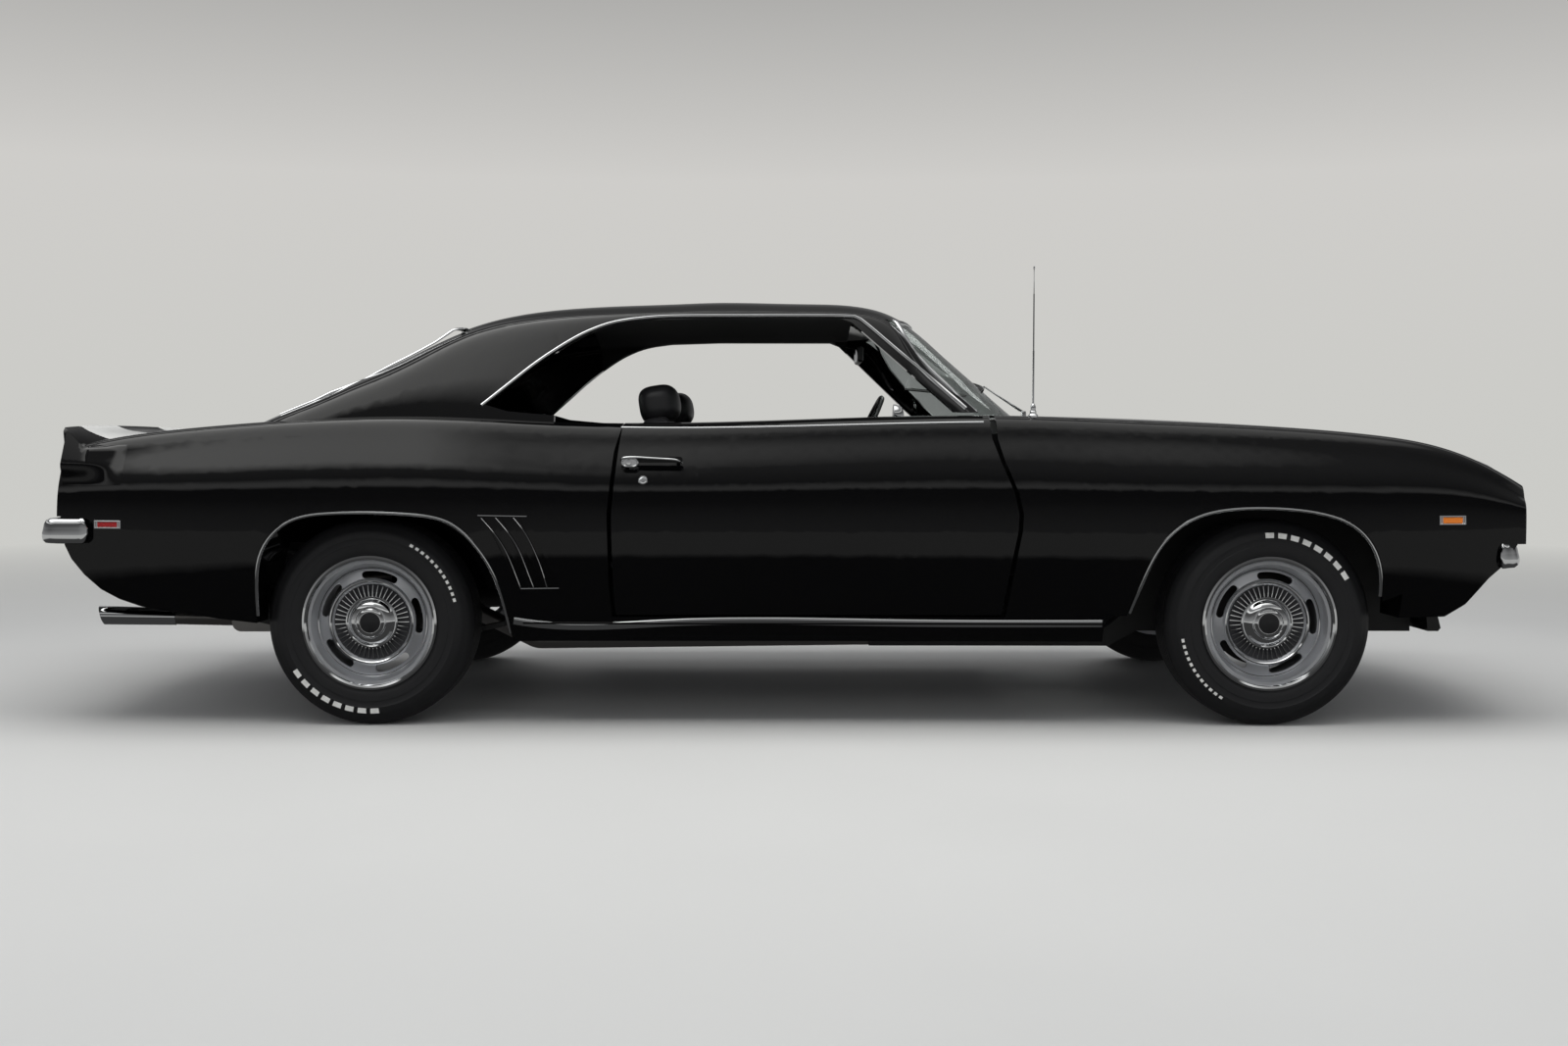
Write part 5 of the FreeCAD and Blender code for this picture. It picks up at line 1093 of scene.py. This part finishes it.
for side, tag in SIDES:
    shares = [i / FAIRING_COLUMNS for i in range(FAIRING_COLUMNS + 1)]
    xs = [FAIRING_X[0] + (FAIRING_X[1] - FAIRING_X[0]) * share for share in shares]
    rows = [[fairing_point(x, r / FAIRING_ROWS, side) for x in xs] for r in range(FAIRING_ROWS + 1)]
    shell_patch("spoiler_fairing_" + tag, rows, (0, -side * 0.004, 0), paint, smooth=60.0)

# smooth cover over the outer wall of each upper hinge pocket, where the skin is thinnest
COVER_X, COVER_EDGE = 0.488, ((0.6235, 0.764), (0.6110, 0.797))
COVER_ROWS = (0.764, 0.770, 0.776, 0.782, 0.788)
CLEAN_ROWS = (0.725, 0.790, 0.805)
CLEAN_X = 0.606
COVER_COLUMNS = 14


def through_rows(x, z, side):
    """Skin y at x, z read from the clean rows above and below the pocket (quadratic through them)."""
    y = 0.0
    for za in CLEAN_ROWS:
        share = 1.0
        for zb in CLEAN_ROWS:
            if zb != za:
                share *= (z - zb) / (za - zb)
        y += share * side_point(lower_skin, x, za, side)[0].y
    return y


for side, tag in SIDES:
    (xa, za), (xb, zb) = COVER_EDGE
    rows = []
    for z in COVER_ROWS:
        edge = xa + (xb - xa) * (z - za) / (zb - za)
        xs = [COVER_X + (edge - COVER_X) * i / (COVER_COLUMNS - 1) for i in range(COVER_COLUMNS)]
        rows.append([(x, through_rows(min(x, CLEAN_X), z, side) + side * 0.0003, z) for x in xs])
    shell_patch("door_pocket_cover_" + tag, rows, (0, -side * 0.003, 0), paint, "door_" + tag, 30.0)


# seats: padded forms with sewn channels
SEAM_DEEP, SEAM_SHAPE, SEAM_EDGE = 0.007, 0.55, 0.16
BOLSTER, WAIST = 0.010, 0.035
# the part of a pad that counts as its sewn face
SEWN_FROM = 0.55
SQUARE = ((0, 0), (1, 0), (1, 1), (0, 1))


def pad(name, centre, half, lean, channels, face, cells, insert=0.70, power=5.0, crown=0.012):
    """Crowned padded box, leaning back by `lean` degrees, with sewn channels on one face ('top' or 'front').

    Channels run along X on a top face and along Z on a front face, spaced across Y within the insert.
    """
    seen, verts, faces = {}, [], []
    turn = Matrix.Rotation(math.radians(-lean), 3, "Y")
    top = face == "top"

    def bulge(w, out, run):
        raised = out ** 6 * crown * (1 - w.y ** 2) * (1 - run ** 2)
        if out <= SEWN_FROM or not channels:
            return raised
        if abs(w.y) < insert:
            across = (w.y / insert + 1) / 2 * channels
            edge = min(1.0, (1 - abs(run)) / SEAM_EDGE)
            return raised + SEAM_DEEP * (abs(math.sin(math.pi * across)) ** SEAM_SHAPE - 1) * edge
        bolster = (abs(w.y) - insert) / (1 - insert)
        return raised + BOLSTER * math.sin(math.pi * min(1.0, bolster)) ** 0.8

    def vertex(key):
        if key not in seen:
            u = Vector([2 * key[i] / cells[i] - 1 for i in range(3)])
            w = u / sum(abs(v) ** power for v in u) ** (1 / power)
            p = Vector([w[i] * half[i] for i in range(3)])
            if top:
                p.x *= 1 - WAIST * (1 - w.y ** 2) * abs(w.x) ** 8
                p.z += bulge(w, max(0.0, w.z), w.x)
            else:
                p.x += bulge(w, max(0.0, w.x), w.z)
            seen[key] = len(verts)
            verts.append(Vector(centre) + turn @ p)
        return seen[key]

    for flat, a, b in ((2, 0, 1), (1, 0, 2), (0, 1, 2)):
        for i in range(cells[a]):
            for j in range(cells[b]):
                for level in (0, cells[flat]):
                    corners = [{flat: level, a: i + di, b: j + dj} for di, dj in SQUARE]
                    faces.append([vertex((c[0], c[1], c[2])) for c in corners])
    obj = piece(name, verts, faces, vinyl, smooth=70.0)
    return obj


SEAT_Y = 0.400
POST = [(0.0, 0.0), (0.006, 0.0), (0.006, 0.075), (0.0, 0.075)]
for side, tag in SIDES:
    y = side * SEAT_Y
    cushion = pad("seat_cushion_" + tag, (-0.140, y, 0.445), (0.262, 0.238, 0.082), -4.0, 9, "top",
                  cells=(24, 110, 12))
    if side == RIGHT:
        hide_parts("front_seats")
    pad("seat_back_" + tag, (-0.428, y, 0.700), (0.058, 0.222, 0.252), 9.1, 9, "front", cells=(10, 110, 24))
    pad("headrest_" + tag, (-0.462, y, 0.992), (0.064, 0.118, 0.064), 9.0, 0, "front", power=3.2,
        cells=(16, 24, 16), crown=0.006)
    for name, hand in (("in", -1), ("out", 1)):
        turned("headrest_post_%s_%s" % (name, tag), POST, (-0.470, y + hand * 0.045, 0.905), (-0.05, 0, 1),
               chrome, steps=16)
    rounded_box("seat_hinge_" + tag, (-0.420, -0.300), (y - 0.244, y + 0.244), (0.400, 0.470), 0.014, plastic)
    for name, hand in (("in", -1), ("out", 1)):
        rail = y + hand * 0.180
        rounded_box("seat_runner_%s_%s" % (name, tag), (-0.380, 0.080), (rail - 0.018, rail + 0.018),
                    (0.2745, 0.372), 0.004, under, segments=2)

bench = pad("rear_seat_cushion", (-0.985, 0.0, 0.475), (0.180, 0.555, 0.075), -5.0, 22, "top", insert=0.90,
            cells=(16, 240, 10))
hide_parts("rear_seat")
pad("rear_seat_back", (-1.250, 0.0, 0.700), (0.062, 0.555, 0.185), 15.0, 22, "front", insert=0.90,
    cells=(8, 240, 18))
rounded_box("rear_seat_plinth", (-1.090, -0.815), (-0.550, 0.550), (0.410, 0.450), 0.008, plastic)
rounded_box("rear_shelf", (-1.349, -1.285), (-0.600, 0.600), (0.880, 0.892), 0.004, carpet, segments=2)

# inner faces of the doors: board, ribs, armrest, window crank and pull
RIBS, RIB_LOW, RIB_PITCH, RIB_TALL = 9, 0.705, 0.017, 0.0155
CRANK_HUB = [(0.0, 0.0), (0.018, 0.0), (0.018, 0.008), (0.010, 0.014), (0.0, 0.015)]
CRANK_ARM = ((0.180, 0.6990, 0.540), (0.150, 0.6965, 0.520), (0.098, 0.6930, 0.500))
CRANK_KNOB = [(0.0, 0.0), (0.007, 0.0), (0.010, 0.010), (0.010, 0.018), (0.0, 0.021)]
PULL = ((0.330, 0.7120, 0.650), (0.305, 0.6960, 0.652), (0.260, 0.6920, 0.652), (0.215, 0.6930, 0.650))


def bent_bar(name, points, step, normal, section, finish, body=CAR, side=1):
    """Bar through the points, mirrored by side -1; its round face looks along normal."""
    path = spline([(x, side * y, z) for x, y, z in points], step)
    sweep(name, path, [Vector(normal)] * len(path), section, finish, body)


for side, tag in SIDES:
    door = "door_" + tag
    inward = (0, -side, 0)
    rounded_box("door_board_" + tag, (-0.500, 0.500), (0.7125, 0.7235), (0.385, 0.900), 0.005, vinyl, door,
                side=side)
    for i in range(RIBS):
        z = RIB_LOW + RIB_PITCH * i
        rounded_box("door_rib_%d_%s" % (i, tag), (-0.455, 0.455), (0.7075, 0.7140), (z, z + RIB_TALL),
                    0.0045, vinyl, door, side=side)
    rounded_box("door_armrest_" + tag, (-0.300, 0.060), (0.6620, 0.7130), (0.588, 0.640), 0.016, vinyl, door,
                4, side)
    turned("window_crank_hub_" + tag, CRANK_HUB, (0.180, side * 0.7120, 0.540), inward, chrome, door, 32)
    bent_bar("window_crank_" + tag, CRANK_ARM, 0.01, inward, half_round(0.013, 0.005, 0.004), chrome, door,
             side)
    turned("window_crank_knob_" + tag, CRANK_KNOB, (0.100, side * 0.6950, 0.500), inward, plastic, door, 24)
    bent_bar("door_pull_" + tag, PULL, 0.008, UP, half_round(0.014, 0.005, 0.005), chrome, door, side)

# steering wheel cap and column lever
WHEEL_AT = Vector((0.232, 0.362, 0.860))
COLUMN = Vector((-0.9018, 0.0, 0.4321))
HORN_CAP = [(0.0, 0.020), (0.0445, 0.020), (0.0445, 0.029), (0.040, 0.034), (0.030, 0.0355), (0.028, 0.0335),
            (0.018, 0.0350), (0.0, 0.0358)]
turned("horn_cap", HORN_CAP, WHEEL_AT, COLUMN, brushed, "steering_wheel")
bent_bar("signal_lever", ((0.318, 0.388, 0.826), (0.306, 0.440, 0.838), (0.300, 0.505, 0.850)), 0.01, UP,
         half_round(0.008, 0.004, 0.004), chrome)

# dashboard: two round dials, radio, heater slides, glove box lid
DASH_FACE = Vector((0.4945, 0.0, 0.806))
DASH_OUT = Vector((-0.994, 0.0, -0.110))
DIAL_BEZEL = [(0.0560, -0.004), (0.0640, -0.004), (0.0640, 0.012), (0.0615, 0.017), (0.0580, 0.014),
              (0.0560, 0.004)]
DIAL = [(0.0, -0.004), (0.0575, -0.004), (0.0575, 0.0035), (0.008, 0.0035), (0.007, 0.0060), (0.0, 0.0062)]
DIAL_SWEEP = [225 - 27 * k for k in range(11)]
# each mark's (inner end, outer end, half width)
DIAL_MARK, DIAL_HAND = (0.044, 0.053, 0.0011), (-0.010, 0.040, 0.0010)
KNOB = [(0.0, 0.0), (0.010, 0.0), (0.0095, 0.016), (0.0075, 0.019), (0.0, 0.0195)]
LID_KNOB = [(0.0, 0.0), (0.011, 0.0), (0.010, 0.006), (0.0, 0.008)]


def dial_marks(name, place, hand_at):
    """Raised scale and hand of a dial."""
    across = Vector((0, 1, 0))
    up = DASH_OUT.cross(across)
    blocks = []
    for degrees, (r0, r1, w) in [(d, DIAL_MARK) for d in DIAL_SWEEP] + [(hand_at, DIAL_HAND)]:
        a = math.radians(degrees)
        spoke = across * math.cos(a) + up * math.sin(a)
        flat = up * math.cos(a) - across * math.sin(a)
        corners = [spoke * r + flat * t for r, t in ((r0, -w), (r1, -w), (r1, w), (r0, w))]
        blocks.append([[place + DASH_OUT * h + corner for corner in corners] for h in (0.0030, 0.0050)])
    piece(name, *skins(blocks), white_rubber)


for i, y in enumerate((0.262, 0.462)):
    place = DASH_FACE + Vector((0, y, 0))
    turned("dial_bezel_%d" % i, DIAL_BEZEL, place, DASH_OUT, chrome, steps=64)
    turned("dial_%d" % i, DIAL, place, DASH_OUT, dial_face, steps=64)
    dial_marks("dial_marks_%d" % i, place, 160 - 40 * i)
rounded_box("radio_face", (0.4850, 0.4990), (-0.095, 0.095), (0.786, 0.838), 0.003, chrome)
rounded_box("radio_window", (0.4835, 0.4880), (-0.062, 0.062), (0.797, 0.828), 0.002, dial_face, segments=2)
for i, y in enumerate((-0.079, 0.079)):
    turned("radio_knob_%d" % i, KNOB, (0.4860, y, 0.812), DASH_OUT, plastic, steps=32)
rounded_box("heater_face", (0.4890, 0.5030), (-0.085, 0.085), (0.757, 0.779), 0.002, brushed, segments=2)
rounded_box("glove_box_lid", (0.4860, 0.5000), (-0.600, -0.200), (0.768, 0.848), 0.004, plastic)
turned("glove_box_knob", LID_KNOB, (0.4870, -0.400, 0.838), DASH_OUT, chrome, steps=32)

# console and gear lever
LEVER_AT, LEVER_LEAN = (0.190, 0.0, 0.520), (-0.35, 0, 1)
LEVER_BOOT = [(0.0, 0.505), (0.050, 0.505), (0.050, 0.515), (0.042, 0.519), (0.038, 0.529), (0.026, 0.533),
              (0.022, 0.545), (0.014, 0.549), (0.0, 0.549)]
GEAR_LEVER = [(0.0, 0.0), (0.0065, 0.0), (0.0055, 0.205), (0.0, 0.205)]
GEAR_KNOB = [(0.0, 0.200), (0.010, 0.201), (0.020, 0.208), (0.0245, 0.222), (0.020, 0.238), (0.010, 0.246),
             (0.0, 0.248)]
rounded_box("console", (-0.330, 0.440), (-0.092, 0.092), (0.436, 0.512), 0.020, plastic, segments=4)
rounded_box("console_plate", (-0.020, 0.360), (-0.070, 0.070), (0.505, 0.516), 0.004, brushed, segments=2)
turned("lever_boot", LEVER_BOOT, (0.190, 0.0, 0.0), UP, plastic, steps=40)
turned("gear_lever", GEAR_LEVER, LEVER_AT, LEVER_LEAN, chrome, steps=20)
turned("gear_knob", GEAR_KNOB, LEVER_AT, LEVER_LEAN, white_rubber, steps=32)

# mirror inside the windshield; its stem ends at the roof
rounded_box("inner_mirror", (0.205, 0.226), (-0.120, 0.120), (1.150, 1.204), 0.008, plastic, segments=4)
rounded_box("inner_mirror_glass", (0.2035, 0.2080), (-0.112, 0.112), (1.156, 1.198), 0.0015, chrome,
            segments=2)
stem_top = upper_skin.ray_cast(Vector((0.232, 0.0, 1.20)), Vector((0.15, 0, 1)).normalized())[0]
bent_bar("inner_mirror_stem", ((0.222, 0.0, 1.180), (0.230, 0.0, 1.22), stem_top), 0.01, (0, 1, 0),
         half_round(0.012, 0.006, 0.006), chrome)

# wipers: pivots, tapered arms and blades lying on the glass
screen = tree_of(["windshield"])
PIVOT_X, TIP_X, TIP_Z = 0.752, 0.652, 1.066
PIVOT = [(0.0, 0.945), (0.0088, 0.945), (0.0088, 0.968), (0.0070, 0.974), (0.0, 0.975)]
ARM_STEPS, BLADE_STEPS = 12, 16
# half width and half thickness of an arm at its pivot, and what it loses of each
ARM_WIDE, ARM_NARROWS, ARM_THICK, ARM_THINS = 0.0075, 0.0045, 0.0035, 0.0010
# on the glass, the blade runs from these y (from the arm's tip) and z places by this much
BLADE_FROM, BLADE_RUN = (-0.210, 1.040), (0.390, 0.042)
# name, first and last place along the blade, lift off the glass, width, height, finish
WIPER_STRIPS = (("bridge", 2, 14, 0.0100, 0.008, 0.004, brushed),
                ("blade", 0, 16, 0.0010, 0.006, 0.009, blade_rubber))


def wiper_arm(name, start, end):
    """Arm that tapers from the pivot to the tip."""
    ahead = (end - start).normalized()
    wide = ahead.cross(Vector((1, 0, 0.5)).normalized()).normalized()
    thick = wide.cross(ahead)
    rings = []
    for t in [k / ARM_STEPS for k in range(ARM_STEPS + 1)]:
        rings.append(oval(start + (end - start) * t, wide * (ARM_WIDE - ARM_NARROWS * t),
                          thick * (ARM_THICK - ARM_THINS * t), 10))
    loft(name, rings, brushed)


for i, (pivot_y, tip_y) in enumerate(((-0.330, -0.060), (0.200, 0.470))):
    pivot = turned("wiper_pivot_%d" % i, PIVOT, (PIVOT_X, pivot_y, 0.0), UP, brushed, steps=24)
    if i == 0:
        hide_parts("wipers")
    wiper_arm("wiper_arm_%d" % i, Vector((PIVOT_X, pivot_y, 0.969)), Vector((TIP_X, tip_y, TIP_Z)))
    for name, first, last, lift, width, tall, finish in WIPER_STRIPS:
        places = [(tip_y + BLADE_FROM[0] + BLADE_RUN[0] * k / BLADE_STEPS,
                   BLADE_FROM[1] + BLADE_RUN[1] * k / BLADE_STEPS)
                  for k in range(first, last + 1)]
        found = [f for f in (end_point(screen, y, z, 1) for y, z in places) if f]
        sweep("wiper_%s_%d" % (name, i), [hit + normal * lift for hit, normal in found],
              [normal for _, normal in found], half_round(width, tall, 0.001, 4), finish)

# door mirror: domed chrome shell, flat glass, curved stalk
MIRROR_AT = (0.400, 0.932, 0.985)
MIRROR_SHELL = [(0.0, 0.0455), (0.016, 0.0440), (0.030, 0.0385), (0.040, 0.0280), (0.0455, 0.0120),
                (0.0460, 0.0020), (0.0445, 0.0), (0.0420, 0.0015), (0.0410, 0.0060), (0.0, 0.0060)]
MIRROR_GLASS = [(0.0, 0.0020), (0.0412, 0.0020), (0.0412, 0.0065), (0.0, 0.0065)]
MIRROR_FOOT = [(0.0, -0.003), (0.021, -0.003), (0.021, 0.002), (0.016, 0.005), (0.0, 0.006)]
STALK_FOOT_R, STALK_THINS = 0.012, 0.004
STALK = [(0.424, 0.868, 0.893), (0.424, 0.905, 0.920), (0.424, 0.928, 0.950)]
shell = turned("mirror_shell", MIRROR_SHELL, MIRROR_AT, FORWARD, chrome, "door_left", 64)
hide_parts("door_mirror")
turned("mirror_glass", MIRROR_GLASS, MIRROR_AT, FORWARD, brushed, "door_left", 64)
foot, normal = side_point(lower_skin, 0.424, 0.880, LEFT)
stalk = spline([foot - normal * 0.004] + STALK, 0.008)
rings = []
for k, q in enumerate(stalk):
    r = STALK_FOOT_R - STALK_THINS * min(1.0, 2 * k / len(stalk))
    rings.append(oval(q, FORWARD * 1.5 * r, FORWARD.cross(along(stalk, k)) * 0.8 * r, 16))
loft("mirror_stalk", rings, chrome, "door_left")
turned("mirror_foot", MIRROR_FOOT, foot, normal, chrome, "door_left", 40)

# floor: pale; its far part takes the room's tone, so that no hard horizon shows; reflections see not the lit
# floor
# but painted light: a glow that is dark near the car as painted shade and pale further off
FLOOR_HALF = 60
FLOOR_FADE = (4.0, 11.0)
# colours the floor glows with in reflections: painted shade near the car, a paler painted glow far off
FLOOR_NEAR_PAINTED_SHADE, FLOOR_FAR_PAINTED_GLOW = (0.045, 0.045, 0.045), (0.42, 0.42, 0.41)
PAINTED_SHADE_FADES_FROM = 3.2


def floor_finish():
    f = Mat("floor", (0.62, 0.62, 0.60), 0.55)
    f.rough(f.noise(1.5), 0.45, 0.6)
    away = f.node("VectorMath", {0: f.co["Object"]}, operation="LENGTH").outputs["Value"]
    fade = f.node("MapRange",
                  {"Value": away, "From Min": FLOOR_FADE[0], "From Max": FLOOR_FADE[1]}).outputs[0]
    room_tone = f.node("Emission", {"Color": (*ROOM[0][1:], 1)}).outputs[0]
    plain = mixed(f.tree, f.value("MULTIPLY", fade, seen_directly(f.tree)), f.b.outputs[0], room_tone)
    # painted shade in reflections: the floor shows a fixed emission here, dark near the car and paler further
    # off
    dark = f.ramp(f.value("SUBTRACT", away, PAINTED_SHADE_FADES_FROM), FLOOR_NEAR_PAINTED_SHADE, FLOOR_FAR_PAINTED_GLOW, 0.2, 0.8)
    shine = f.node("Emission", {"Color": dark}).outputs[0]
    surface = f.tree.nodes["Material Output"].inputs["Surface"]
    f.tree.links.new(mixed(f.tree, mirrored_ray(f.tree), plain, shine), surface)
    return f


floor_mesh = bpy.data.meshes.new("floor")
corners = [(x * FLOOR_HALF, y * FLOOR_HALF, 0) for x, y in ((-1, -1), (1, -1), (1, 1), (-1, 1))]
floor_mesh.from_pydata(corners, [], [(0, 1, 2, 3)])
floor = bpy.data.objects.new("floor", floor_mesh)
bpy.context.scene.collection.objects.link(floor)
floor_mesh.materials.append(floor_finish().m)
